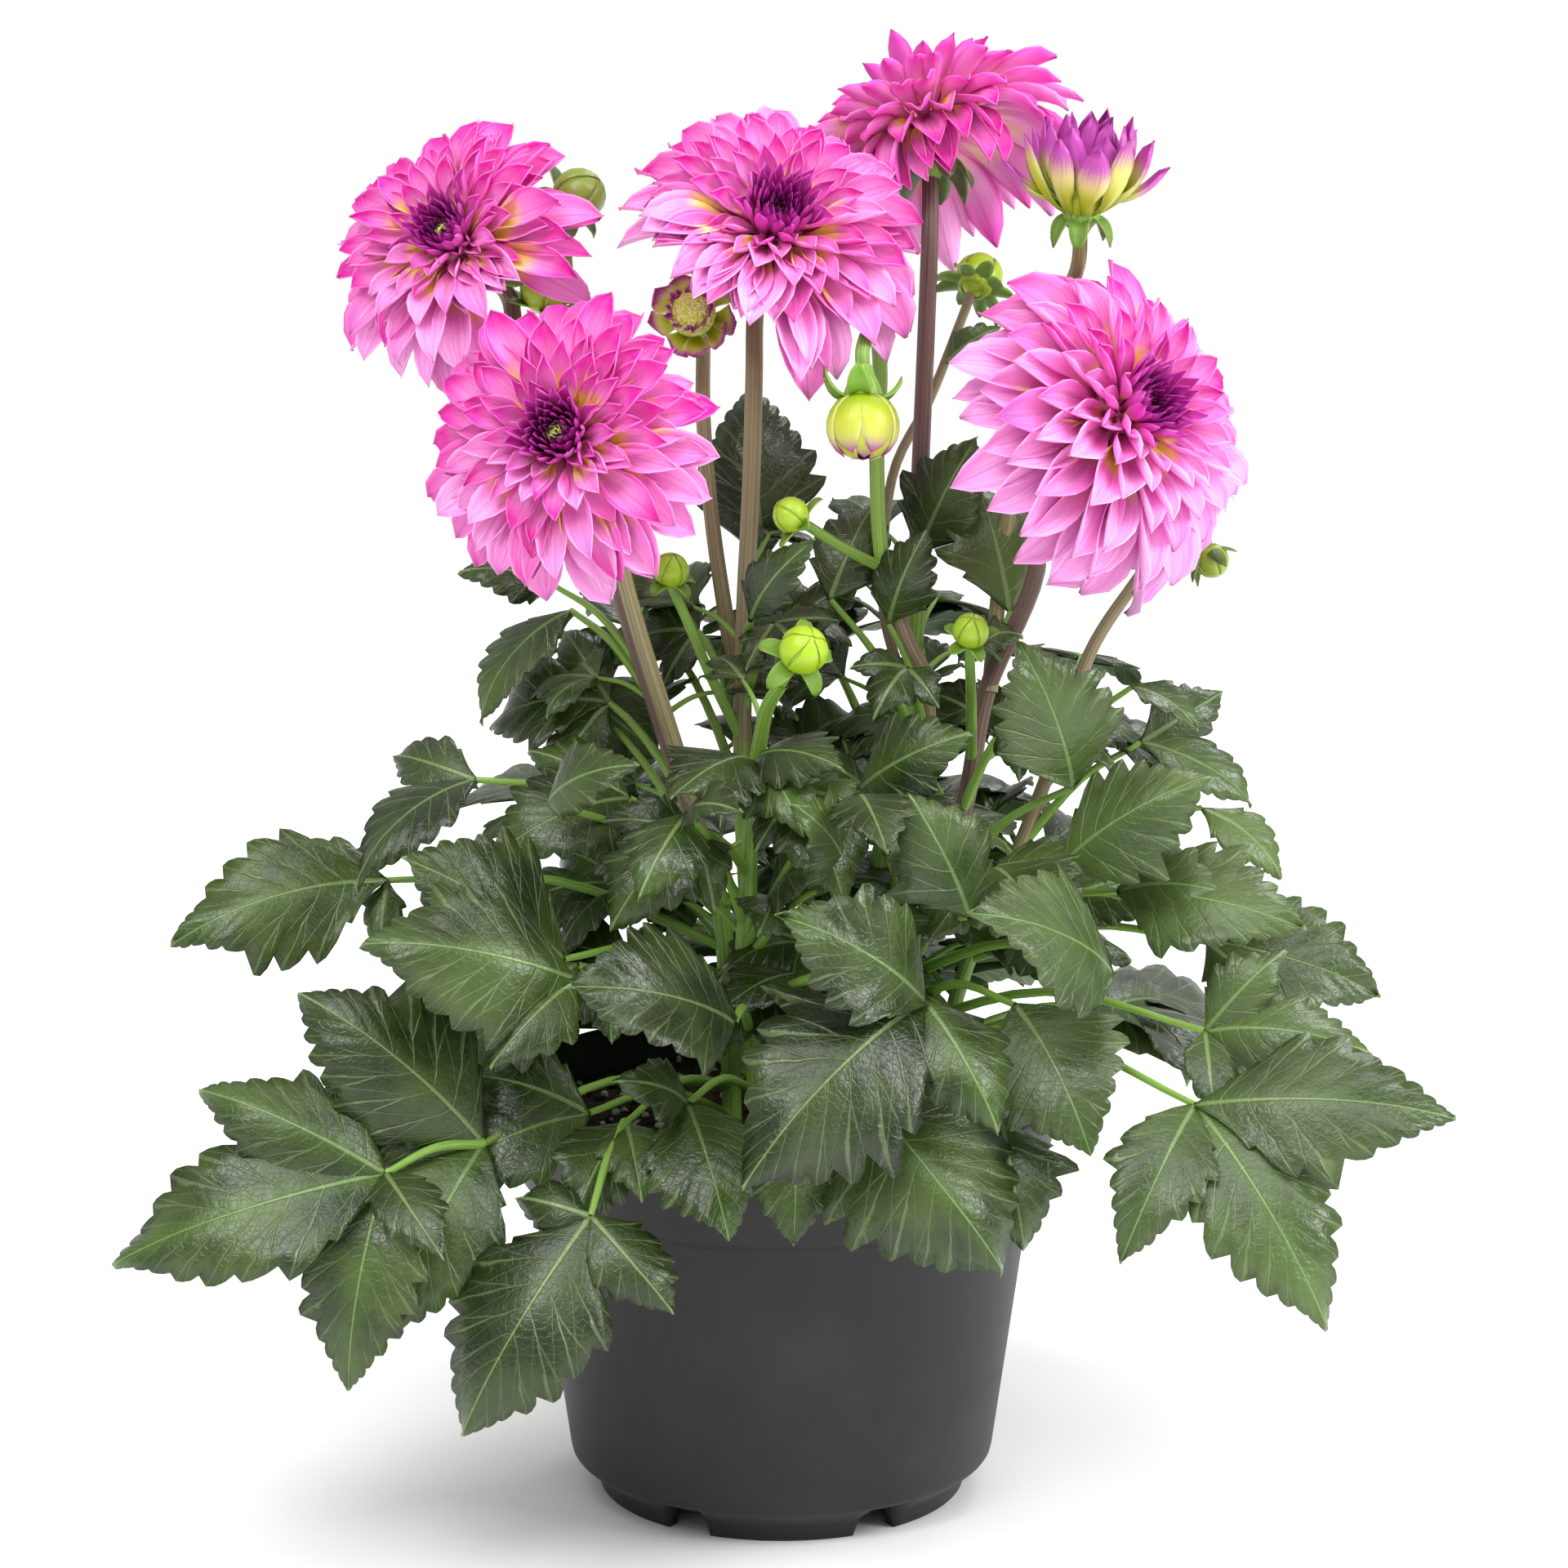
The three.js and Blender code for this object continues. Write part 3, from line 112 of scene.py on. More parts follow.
# The shoots. A stem runs from its foot upwards and is green or brown by its ripeness, which is one
# number or spans of height, each with the ripeness below and above it. A leaf has the height or the
# point where its stalk starts, the knot where its leaflets meet, their tips and, where they differ from
# the rest, the share of the width in the length and the face. An arched leaf has the height where it
# starts, a point above its arch and its tip. Filling leaves have their lowest and highest start, their
# number and their reach. Leaves at the back have the crown they lean from and the bearings in each tier.
# A lone leaflet has its root, its tip and its face.
SHOOTS = {
    "shoot_left": dict(stems=[
        dict(head=BLOOMS["bloom_left"], ripe=[(210, 250, 0.1, 1)], tone=0.85, points=[(-16, -14, 112),
             (-18, -12, 179), (-21, -15, 208), (-29, -15, 235), (-40, -12, 268), (-51, -5, 302),
             (-58, 0, 328), (-69, 6, 352), (-86, 12, 380)]),
        dict(head=BLOOMS["bloom_low_left"], radius=FLOWER_STEM_RADIUS, ripe=0.9, tone=0.05,
             points=[(-28, -14, 236), (-38, -26, 272), (-46, -31, 300), (-52, -35, 325)]),
    ], buds=[
        dict(centre=(-67, 35, 435), axis=(0.7, -0.3, 0.6), radius=8.5, ripe=0.8, points=[(-51, -5, 302),
             (-54, 10, 335), (-61, 22, 366), (-70, 31, 405)]),
        dict(centre=(-78, 25, 405), axis=(0.1, -0.3, 0.95), radius=8, ripe=0.05, sepals=7, droop=-0.6,
             slim=0.34, points=[(-58, 18, 352), (-70, 24, 372), (-78, 26, 388)]),
    ], calyxes=[dict(head=BLOOMS["bloom_left"]), dict(head=BLOOMS["bloom_low_left"])], leaves=[
        (138, (-95, -92, 146), [(-150, -88, 198), (-125, -122, 90), (-150, -82, 158)]),
        (132, (-62, -78, 152), [(-114, -86, 134), (-104, -70, 166)]),
        (150, (-66, -58, 196), [(-112, -62, 160)], 0.57),
        ((-95, -92, 146), (-125, -108, 141),
         [(-185, -100, 165), (-210, -118, 110), (-140, -124, 75), (-108, -140, 122)], 0.52),
        (142, (-50, -82, 150), [(-68, -112, 128), (-43, -112, 134)]),
        ((-50, -82, 150), (-60, -118, 130), [(-100, -140, 65), (-36, -134, 102), (-85, -108, 132)]),
        (165, (-65, -92, 200), [(-130, -112, 215), (-90, -118, 178)], 0.64),
        (172, (-70, -66, 200), [(-120, -86, 235)], 0.77),
        (190, (-130, -20, 215), [(-200, -45, 205), (-170, -15, 222), (-132, -34, 194)], 0.52),
        (222, (-100, -25, 250), [(-140, -52, 223), (-130, -2, 252)], 0.54, FRONT_LEFT),
        (272, (-70, 10, 300), [(-102, -8, 268)], 0.54, FRONT_LEFT),
        (280, (-75, 15, 307), [(-106, 4, 316)], 0.54, FRONT_LEFT),
        (200, (-75, -60, 250), [(-46, -88, 268)], 0.47),
        (215, (-70, 6, 274), [(-42, 2, 250)], 0.68),
    ], arched=[(205, (-55, -25, 275), (-92, -50, 228)), (235, (-62, 0, 300), (-98, 12, 262))],
        filling=(150, 295, 24, 82)),
    "shoot_front": dict(stems=[
        dict(taper=(1.1, 0.75), ripe=0.1, tone=0.5, points=[(-4, -28, 112), (-12, -24, 181),
             (-11, -29, 211), (-10, -34, 237), (-8, -39, 258), (-5, -46, 277), (0, -54, 288)]),
    ], buds=[
        dict(centre=(7, -65, 301), axis=(0.35, -0.7, 0.6), radius=7.5, ripe=0, points=[(-5, -46, 277),
             (0, -54, 288)]),
    ], leaves=[
        (136, (-30, -88, 158), [(-15, -122, 124), (-50, -105, 172)], 0.72),
        (138, (5, -90, 156), [(5, -115, 120)], 0.72),
        (140, (25, -100, 166), [(65, -130, 114)], 0.8),
        (172, (45, -104, 196), [(0, -120, 231), (-15, -148, 154), (68, -130, 163)], 0.64),
        (158, (-15, -90, 185), [(-66, -128, 206)], 0.68),
        (198, (-30, -75, 250), [(-42, -108, 232), (-14, -100, 256)]),
        (252, (-9, -42, 260), [(-31, -90, 258), (16, -80, 266), (6, -84, 249)]),
        (184, (20, -60, 225), [(5, -90, 256)], 0.62),
        (190, (25, -70, 255), [(32, -105, 244)], 0.62),
    ], arched=[(215, (-30, -60, 262), (-55, -78, 215)), (228, (12, -58, 280), (20, -78, 222))],
        filling=(150, 275, 8, 60)),
    "shoot_centre": dict(stems=[
        dict(head=BLOOMS["bloom_centre"], ripe=[(230, 290, 0.1, 1)], tone=0.25, points=[(-8, 6, 112),
             (-9, 3, 175), (-12, 0, 218), (-13, -2, 260), (-12, -4, 303), (-10, -4, 343),
             (-9, 0, 378)]),
        dict(head=OPENING_CALYX, radius=FLOWER_STEM_RADIUS, ripe=0.68, tone=0.3, reach=8,
             points=[(-12, -2, 258), (-18, 9, 295), (-23, 17, 328), (-26, 25, 362)]),
    ], buds=[
        dict(centre=(-36, -22, 319), axis=(0.2, -0.4, 0.9), radius=5.5, ripe=0.2,
             points=[(-13, -2, 258), (-23, -10, 281), (-31, -18, 302)]),
    ], calyxes=[dict(head=BLOOMS["bloom_centre"]), dict(head=OPENING_CALYX)], leaves=[
        (286, (-6, 28, 315), [(-13, 46, 370)], 0.64),
        (280, (-10, -34, 305), [(9, -50, 336)], 0.42),
    ], arched=[(255, (-30, 10, 320), (-52, 20, 285)), (265, (0, -20, 330), (12, -38, 285))],
        back=((-10, 4), ((110, 146, 178), (124, 162), (132,))),
        filling=(150, 310, 20, 70)),
    "shoot_nodding": dict(stems=[
        dict(head=NODDING_CALYX, radius=FLOWER_STEM_RADIUS, tone=0.5, reach=6,
             ripe=[(215, 235, 0.1, 0.8), (300, 335, 1, 0.12)], points=[(18, -16, 112), (23, -9, 155),
             (33, -8, 192), (46, -8, 234), (48, -10, 276), (41, -12, 295), (33, -12, 320),
             (31, -12, 355), (32, -12, 382), (30, -22, 399)]),
    ], buds=[
        dict(centre=(3, -45, 341), axis=(-0.7, -0.3, 0.6), radius=5.5, ripe=0.2, points=[(33, -12, 318),
             (19, -28, 328), (9, -38, 336)]),
    ], calyxes=[dict(head=NODDING_CALYX, bracts=4, ripe=0.1, spread=0.5, drop=0.3)], leaves=[
        (215, (25, -40, 250), [(60, -60, 270)], 0.62),
        (262, (35, -14, 300), [(45, -22, 332)]),
        (250, (16, -14, 308), [(30, 4, 338)]),
    ], arched=[(205, (38, -42, 275), (42, -66, 224)), (252, (40, -30, 315), (30, -44, 275))],
        filling=(150, 290, 12, 58)),
    "shoot_top": dict(stems=[
        dict(head=BLOOMS["bloom_top"], ripe=[(338, 346, 0.1, 1)], tone=0.95, points=[(14, 10, 112),
             (23, 7, 174), (36, 8, 230), (44, 15, 284), (46, 25, 338), (48, 34, 385)]),
    ], buds=[
        dict(centre=(66, 46, 407), axis=(0.35, 0.7, 0.6), radius=7.5, ripe=0.2, stem=0.75, sepals=9,
             droop=1.1, slim=0.36, points=[(42, 13, 270), (34, 24, 300), (37, 36, 340), (50, 45, 366),
             (60, 44, 392)]),
    ], calyxes=[dict(head=BLOOMS["bloom_top"], bracts=7, ripe=0.9)], leaves=[
        (280, (46, 21, 318), [(66, 16, 356)]),
    ], back=((12, 6), ((46, 78), (52, 84), (62, 98))),
        lone=((55, 44, 378), (73, 38, 391), (0.2, -0.8, 0.6)),
        filling=(150, 320, 18, 74)),
    "shoot_right": dict(stems=[
        dict(head=BLOOMS["bloom_right"], ripe=[(200, 250, 0.1, 1)], tone=0.9, points=[(32, -4, 112),
             (36, -4, 154), (47, -6, 197), (61, -4, 238), (68, 2, 274), (84, -3, 316)]),
        dict(head=HALF_OPEN, radius=FLOWER_STEM_RADIUS, ripe=0.62, tone=0.2, reach=12,
             points=[(69, 1, 274), (73, 14, 312), (79, 17, 353), (90, 12, 396)]),
    ], buds=[
        dict(centre=(61, -38, 302), axis=(0.1, -0.6, 0.8), radius=5.5, ripe=0.2, points=[(63, -2, 252),
             (62, -22, 275), (61, -34, 290)]),
    ], calyxes=[dict(head=BLOOMS["bloom_right"]),
             dict(head=HALF_OPEN, bracts=6, ripe=0.45, spread=0.4, drop=0.3)], leaves=[
        (174, (60, -70, 215), [(40, -78, 256)], 0.68),
        (178, (105, -82, 200), [(60, -122, 226)], 0.68),
        (198, (95, -35, 250), [(80, -42, 301)], 0.68),
        (192, (90, -44, 225), [(136, -60, 260)], 0.62),
        (262, (76, 8, 300), [(66, 28, 341)], 0.62),
        (156, (135, -84, 181), [(160, -84, 207), (186, -102, 182), (134, -108, 160)], 0.52),
        (150, (130, -110, 164), [(210, -124, 163), (170, -148, 104), (104, -142, 124)], 0.52),
        (165, (75, -75, 187), [(100, -110, 150)], 0.77),
        (140, (70, -88, 154), [(76, -112, 118)], 0.68),
    # Painted light: the placed leaves of this shoot are given less ripeness, which makes them paler, so that
    # they look lit on the right-hand side.
    ], leaf_ripe_painted_light=0.72,
        arched=[(232, (80, -22, 300), (104, -34, 262)), (186, (80, -45, 255), (88, -82, 200))],
        filling=(150, 295, 16, 82)),
    "shoot_far_right": dict(stems=[
        dict(radius=FLOWER_STEM_RADIUS, taper=(1.1, 0.7), sides=12, ripe=[(200, 240, 0.1, 1)], tone=0.3,
             points=[(46, 8, 112), (61, 4, 176), (75, 6, 208), (91, 12, 249), (103, 20, 283),
             (118, 25, 306), (130, 26, 322), (138, 22, 330), (143, 14, 316)]),
    ], buds=[
        dict(centre=(143, 14, 316), axis=(0.4, -0.2, -0.9), radius=5.5, ripe=0.5, droop=-2.4, slim=0.46,
             points=[(138, 22, 330)]),
    ], leaves=[
        (214, (120, 10, 255), [(156, 0, 235), (150, 26, 267)], 0.54, FRONT_RIGHT),
        (240, (116, 0, 276), [(137, -12, 264)], 0.54, FRONT_RIGHT),
        (204, (140, 0, 235), [(166, -12, 214)], 0.54, FRONT_RIGHT),
        (184, (110, -36, 215), [(146, -56, 222), (166, -70, 208)]),
        (178, (140, -28, 196), [(196, -40, 180), (160, -52, 178)]),
    # Painted light: the placed leaves of this shoot are given less ripeness, which makes them paler, so that
    # they look lit on the right-hand side.
    ], leaf_ripe_painted_light=0.6,
        back=((30, 8), ((-2, 22), (18,), ())),
        filling=(150, 285, 12, 72)),
}


def mix(a, b, t):
    return a + (b - a) * t


def smooth_step(low, high, value):
    t = min(1.0, max(0.0, (value - low) / (high - low)))
    return t * t * (3 - 2 * t)


def square_to(axis):
    """Two directions square to an axis."""
    helper = Vector((1, 0, 0)) if abs(axis.z) > 0.9 else UP
    first = helper.cross(axis).normalized()
    return first, axis.cross(first).normalized()


def outward_at(axis, bearing):
    """The direction that points out from an axis at a bearing round it."""
    east, north = square_to(axis)
    return east * math.cos(bearing) + north * math.sin(bearing)


def level_at(bearing, reach=1):
    """The level place at a bearing from +X and so far from the model's axis."""
    return Vector((reach * math.cos(bearing), reach * math.sin(bearing), 0))


def smooth_path(points, steps):
    """Points along a smooth curve through the given points."""
    places = [Vector(p) for p in points]
    ends = [2 * places[0] - places[1], *places, 2 * places[-1] - places[-2]]
    path = []
    for a, b, c, d in zip(ends, ends[1:], ends[2:], ends[3:]):
        for i in range(steps):
            t = i / steps
            path.append(0.5 * (2 * b + (c - a) * t + (2 * a - 5 * b + 4 * c - d) * t * t
                               + (3 * b - a - 3 * c + d) * t ** 3))
    return [*path, places[-1]]


def arch_path(root, via, tip, steps=12):
    """Points along a curve that leaves the root towards a point and comes down to the tip."""
    shares = [i / steps for i in range(steps + 1)]
    return [root * (1 - t) ** 2 + via * (2 * t * (1 - t)) + tip * t * t for t in shares]


# Objects and meshes

def put(name, data, place=(0, 0, 0), turned=(0, 0, 0)):
    """A new object in the scene."""
    made = bpy.data.objects.new(name, data)
    made.location = place
    made.rotation_euler = turned
    bpy.context.scene.collection.objects.link(made)
    return made


class Piece:
    """A mesh in the making, with a map along and across each blade and two numbers on each point:
    its tone, which differs from blade to blade, and its ripeness."""

    def __init__(self, name, materials):
        self.name = name
        self.materials = materials
        self.bm = bmesh.new()
        self.map = self.bm.loops.layers.uv.new("blade")
        self.tone = self.bm.verts.layers.float.new("tone")
        self.ripe = self.bm.verts.layers.float.new("ripe")

    def sheet(self, columns, rows, place, tone=0.5, ripe=0.5, material=0, mapped=None):
        """A grid whose points go to place(across, along), with across from -1 to 1 and along from
        0 to 1. Its upper side is the one seen with across to the right and along ahead."""
        made = bmesh.ops.create_grid(self.bm, x_segments=columns, y_segments=rows, size=1)
        spots = {v: (v.co.x, (v.co.y + 1) / 2) for v in made["verts"]}
        for face in {f for v in made["verts"] for f in v.link_faces}:
            face.material_index = material
            face.smooth = True
            for loop in face.loops:
                across, along = spots[loop.vert]
                loop[self.map].uv = mapped(across, along) if mapped else (across, along)
        for v, (across, along) in spots.items():
            v.co = place(across, along)
            v[self.tone] = tone
            v[self.ripe] = ripe(v.co) if callable(ripe) else ripe

    def tube(self, path, radius, sides, ripe, tone=0.5):
        """A round stem along a path. The radius is a function of the share of the way."""
        tangents = [(b - a).normalized() for a, b in zip(path, path[1:])]
        tangents.append(tangents[-1])
        side = square_to(tangents[0])[0]
        sides_along = []
        for tangent in tangents:
            side = (side - tangent * side.dot(tangent)).normalized()
            sides_along.append((side, tangent.cross(side)))
        last = len(path) - 1

        def place(across, along):
            i = round(along * last)
            first, second = sides_along[i]
            angle = -math.pi * across
            reach = radius(along)
            return path[i] + first * (reach * math.cos(angle)) + second * (reach * math.sin(angle))
        self.sheet(sides, last, place, tone, ripe)

    def finish(self, slot, replaced=(), thick=None):
        """Make the piece. The sheets of a thick one have the next material on their under side."""
        bmesh.ops.remove_doubles(self.bm, verts=self.bm.verts, dist=0.004)
        if thick is None:
            bmesh.ops.recalc_face_normals(self.bm, faces=self.bm.faces)
        bmesh.ops.scale(self.bm, vec=(MM, MM, MM), verts=self.bm.verts)
        mesh = bpy.data.meshes.new(self.name)
        self.bm.to_mesh(mesh)
        self.bm.free()
        for material in self.materials:
            mesh.materials.append(material)
        piece = put(self.name, mesh)
        if thick:
            wall = piece.modifiers.new("thickness", "SOLIDIFY")
            wall.thickness = thick * MM
            wall.offset = 0
            wall.material_offset = 1
        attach(piece, "root")
        if replaced:
            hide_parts(*replaced)


# Materials

class Shades:
    """Short ways to make and join shader nodes in one tree."""

    def __init__(self, tree):
        self.tree = tree

    def node(self, kind, settings=None, **inputs):
        made = self.tree.nodes.new(kind)
        for name, value in (settings or {}).items():
            setattr(made, name, value)
        for name, value in inputs.items():
            self.feed(made, name.replace("_", " "), value)
        return made

    def feed(self, node, name, value):
        socket = node.inputs[name]
        if isinstance(value, bpy.types.NodeSocket):
            self.tree.links.new(value, socket)
        else:
            socket.default_value = value

    def maths(self, operation, *values, clamp=False):
        made = self.tree.nodes.new("ShaderNodeMath")
        made.operation = operation
        made.use_clamp = clamp
        for i, value in enumerate(values):
            self.feed(made, i, value)
        return made.outputs[0]

    def times(self, a, b):
        return self.maths("MULTIPLY", a, b)

    def scaled(self, value, factor, plus):
        return self.maths("MULTIPLY_ADD", value, factor, plus)

    def blend(self, factor, a, b, kind="MIX"):
        made = self.tree.nodes.new("ShaderNodeMix")
        made.data_type = "RGBA"
        made.blend_type = kind
        for name, value in ((0, factor), (6, a), (7, b)):
            self.feed(made, name, value)
        return made.outputs[2]

    def tint(self, colour, mask, strength, other):
        """The colour, with the other one over it where the mask is set."""
        return self.blend(self.times(mask, strength), colour, other)

    def span(self, value, low, high, to_low=0.0, to_high=1.0):
        made = self.tree.nodes.new("ShaderNodeMapRange")
        made.interpolation_type = "SMOOTHSTEP"
        for i, number in enumerate((value, low, high, to_low, to_high)):
            self.feed(made, i, number)
        return made.outputs[0]

    def place(self):
        return self.node("ShaderNodeTexCoord").outputs["Object"]

    def mottle(self, scale, vector=None, detail=3.0, rough=0.55):
        made = self.node("ShaderNodeTexNoise", Scale=scale, Detail=detail, Roughness=rough)
        self.feed(made, "Vector", vector or self.place())
        return made.outputs["Fac"]

    def number(self, name):
        return self.node("ShaderNodeAttribute", dict(attribute_name=name)).outputs["Fac"]

    def blade_map(self):
        """Across and along a blade."""
        spot = self.node("ShaderNodeUVMap", dict(uv_map="blade")).outputs[0]
        split = self.node("ShaderNodeSeparateXYZ", Vector=spot)
        return split.outputs[0], split.outputs[1]

    def bump(self, height, strength, distance):
        made = self.node("ShaderNodeBump", Height=height, Strength=strength, Distance=distance)
        return made.outputs[0]


def rgb(red, green, blue):
    """A colour as it looks on a screen, from 0 to 255, in linear numbers."""
    return (*(((c / 255 + 0.055) / 1.055) ** 2.4 if c > 10 else c / 255 / 12.92
              for c in (red, green, blue)), 1)


def material(name, build, **constants):
    """A material whose build function returns the sockets that vary over the surface."""
    made = bpy.data.materials.new(name)
    made.use_nodes = True
    shader = made.node_tree.nodes["Principled BSDF"]
    shades = Shades(made.node_tree)
    for key, value in {**build(shades), **constants}.items():
        shades.feed(shader, key, value)
    return made


def effect(name, inputs, outputs, build):
    """An effect that several materials use, with named inputs and outputs."""
    tree = bpy.data.node_groups.new(name, "ShaderNodeTree")
    for key, (kind, value) in inputs.items():
        socket = tree.interface.new_socket(key, in_out="INPUT", socket_type="NodeSocket" + kind)
        socket.default_value = value
    for key, kind in outputs.items():
        tree.interface.new_socket(key, in_out="OUTPUT", socket_type="NodeSocket" + kind)
    shades = Shades(tree)
    given = tree.nodes.new("NodeGroupInput").outputs
    made = tree.nodes.new("NodeGroupOutput")
    for key, value in build(shades, given).items():
        shades.feed(made, key, value)
    return tree


def use(shades, tree, **inputs):
    """The outputs of an effect in one material's tree."""
    made = shades.tree.nodes.new("ShaderNodeGroup")
    made.node_tree = tree
    for key, value in inputs.items():
        shades.feed(made, key, value)
    return made.outputs


# Where side veins fork: how far out in millimetres, and how steeply in teeth for each millimetre
VEIN_FORKS = ((4.0, -0.045), (8.0, 0.04))


def leaf_veins(shades, given):
    """How strongly the midrib, the side veins and the net between them show on a leaflet, whose
    map runs across it in millimetres and along it in teeth."""
    across, along = shades.blade_map()
    reach = shades.maths("ABSOLUTE", across)
    rib_edge = shades.span(along, 0.0, 6.0, 1.1, 0.4)
    midrib = shades.span(reach, shades.times(rib_edge, 0.4), rib_edge, 1, 0)
    wander = shades.scaled(shades.mottle(90.0), 0.2, 1.4 - VEIN_SHARE)
    along = shades.maths("ADD", along, wander)

    def side_vein(start, lean, strength):
        """The side veins, or the forks that leave them so many millimetres from the midrib."""
        past = shades.maths("MAXIMUM", shades.maths("SUBTRACT", reach, start), 0.0)
        phase = shades.maths("FRACT", shades.scaled(past, lean, along))
        from_vein = shades.maths("ABSOLUTE", shades.maths("SUBTRACT", phase, 0.5))
        return shades.span(from_vein, 0.01, 0.045, strength, 0)

    side = side_vein(0.0, 0.0, 1.0)
    for start, lean in VEIN_FORKS:
        side = shades.maths("MAXIMUM", side, side_vein(start, lean, 0.55))
    place = shades.place()
    cells = shades.node("ShaderNodeTexVoronoi", dict(feature="DISTANCE_TO_EDGE"), Scale=420.0)
    shades.feed(cells, "Vector", place)
    net = shades.span(cells.outputs["Distance"], 0.0, 0.1, 1, 0)
    near_rib = shades.span(reach, 0.5, 7.0, 1, 0)
    return {"Midrib": midrib, "Side": side, "Net": net, "Near rib": near_rib}


VEINS = effect("leaf_veins", {}, dict.fromkeys(("Midrib", "Side", "Net", "Near rib"), "Float"), leaf_veins)


def leaf_upper(shades):
    veins = use(shades, VEINS)
    tone = shades.number("tone")
    ripe = shades.number("ripe")
    patches = shades.mottle(38.0)
    dark = shades.blend(shades.span(patches, 0.3, 0.7), rgb(27, 41, 11), rgb(60, 78, 28))
    # Green of young leaflets; on the right-hand shoots it is also painted light, which makes their leaves
    # look lit.
    fresh_green_and_painted_light = shades.blend(patches, rgb(74, 100, 46), rgb(116, 140, 84))
    colour = shades.blend(ripe, fresh_green_and_painted_light, dark)
    colour = shades.tint(colour, veins["Near rib"], 0.2, rgb(74, 110, 30))
    shade = shades.scaled(tone, 0.7, 0.62)
    shade = shades.node("ShaderNodeCombineColor", Red=shade, Green=shade, Blue=shade).outputs[0]
    colour = shades.blend(1.0, colour, shade, "MULTIPLY")
    colour = shades.tint(colour, veins["Net"], 0.07, rgb(96, 118, 70))
    colour = shades.tint(colour, veins["Side"], 0.36, rgb(122, 144, 92))
    colour = shades.tint(colour, veins["Midrib"], 0.6, rgb(130, 154, 94))
    low = shades.times(veins["Net"], -0.12)
    height = shades.maths("SUBTRACT", low, shades.maths("MAXIMUM", veins["Side"], veins["Midrib"]))
    height = shades.scaled(shades.mottle(700.0), 0.35, height)
    height = shades.scaled(shades.mottle(150.0), 1.2, height)
    rough = shades.scaled(patches, 0.2, 0.2)
    return {"Base Color": colour, "Roughness": rough, "Normal": shades.bump(height, 0.5, 0.0008)}


def leaf_under(shades):
    veins = use(shades, VEINS)
    patches = shades.mottle(42.0)
    ribs = shades.maths("MAXIMUM", veins["Side"], veins["Midrib"])
    colour = shades.blend(patches, rgb(86, 112, 74), rgb(112, 138, 96))
    colour = shades.tint(colour, ribs, 0.6, rgb(156, 178, 116))
    return {"Base Color": colour, "Normal": shades.bump(ribs, 0.6, 0.0004)}


def blade_marks(shades, given):
    """Streaks that run along a petal, scale or stem, and its rim."""
    across, along = shades.blade_map()
    place = shades.node("ShaderNodeCombineXYZ", X=shades.times(across, given["Count"]),
                        Y=along, Z=given["Shift"])
    rim = shades.span(shades.maths("ABSOLUTE", across), given["Rim from"], 1.0)
    return {"Streaks": shades.mottle(1.5, place.outputs[0]), "Rim": rim}


BLADE_MARKS = effect(
    "blade_marks", {"Count": ("Float", 8.0), "Shift": ("Float", 0.0), "Rim from": ("Float", 0.8)},
    {"Streaks": "Float", "Rim": "Float"}, blade_marks)


def stem_skin(shades):
    """Green below, olive and purple brown above, with fine ribs along the stem."""
    ripe = shades.number("ripe")
    tone = shades.number("tone")
    streaks = shades.span(use(shades, BLADE_MARKS, Count=9.0)["Streaks"], 0.3, 0.7)
    patches = shades.mottle(60.0)
    green = shades.blend(streaks, rgb(96, 142, 44), rgb(150, 186, 84))
    olive = shades.blend(streaks, rgb(118, 112, 70), rgb(168, 156, 116))
    purple = shades.blend(streaks, rgb(72, 48, 52), rgb(128, 96, 92))
    brown = shades.blend(tone, olive, purple)
    turn = shades.maths("ADD", ripe, shades.scaled(patches, 0.3, -0.15))
    colour = shades.blend(shades.span(turn, 0.3, 0.7), green, brown)
    return {"Base Color": colour, "Normal": shades.bump(streaks, 0.35, 0.0006)}


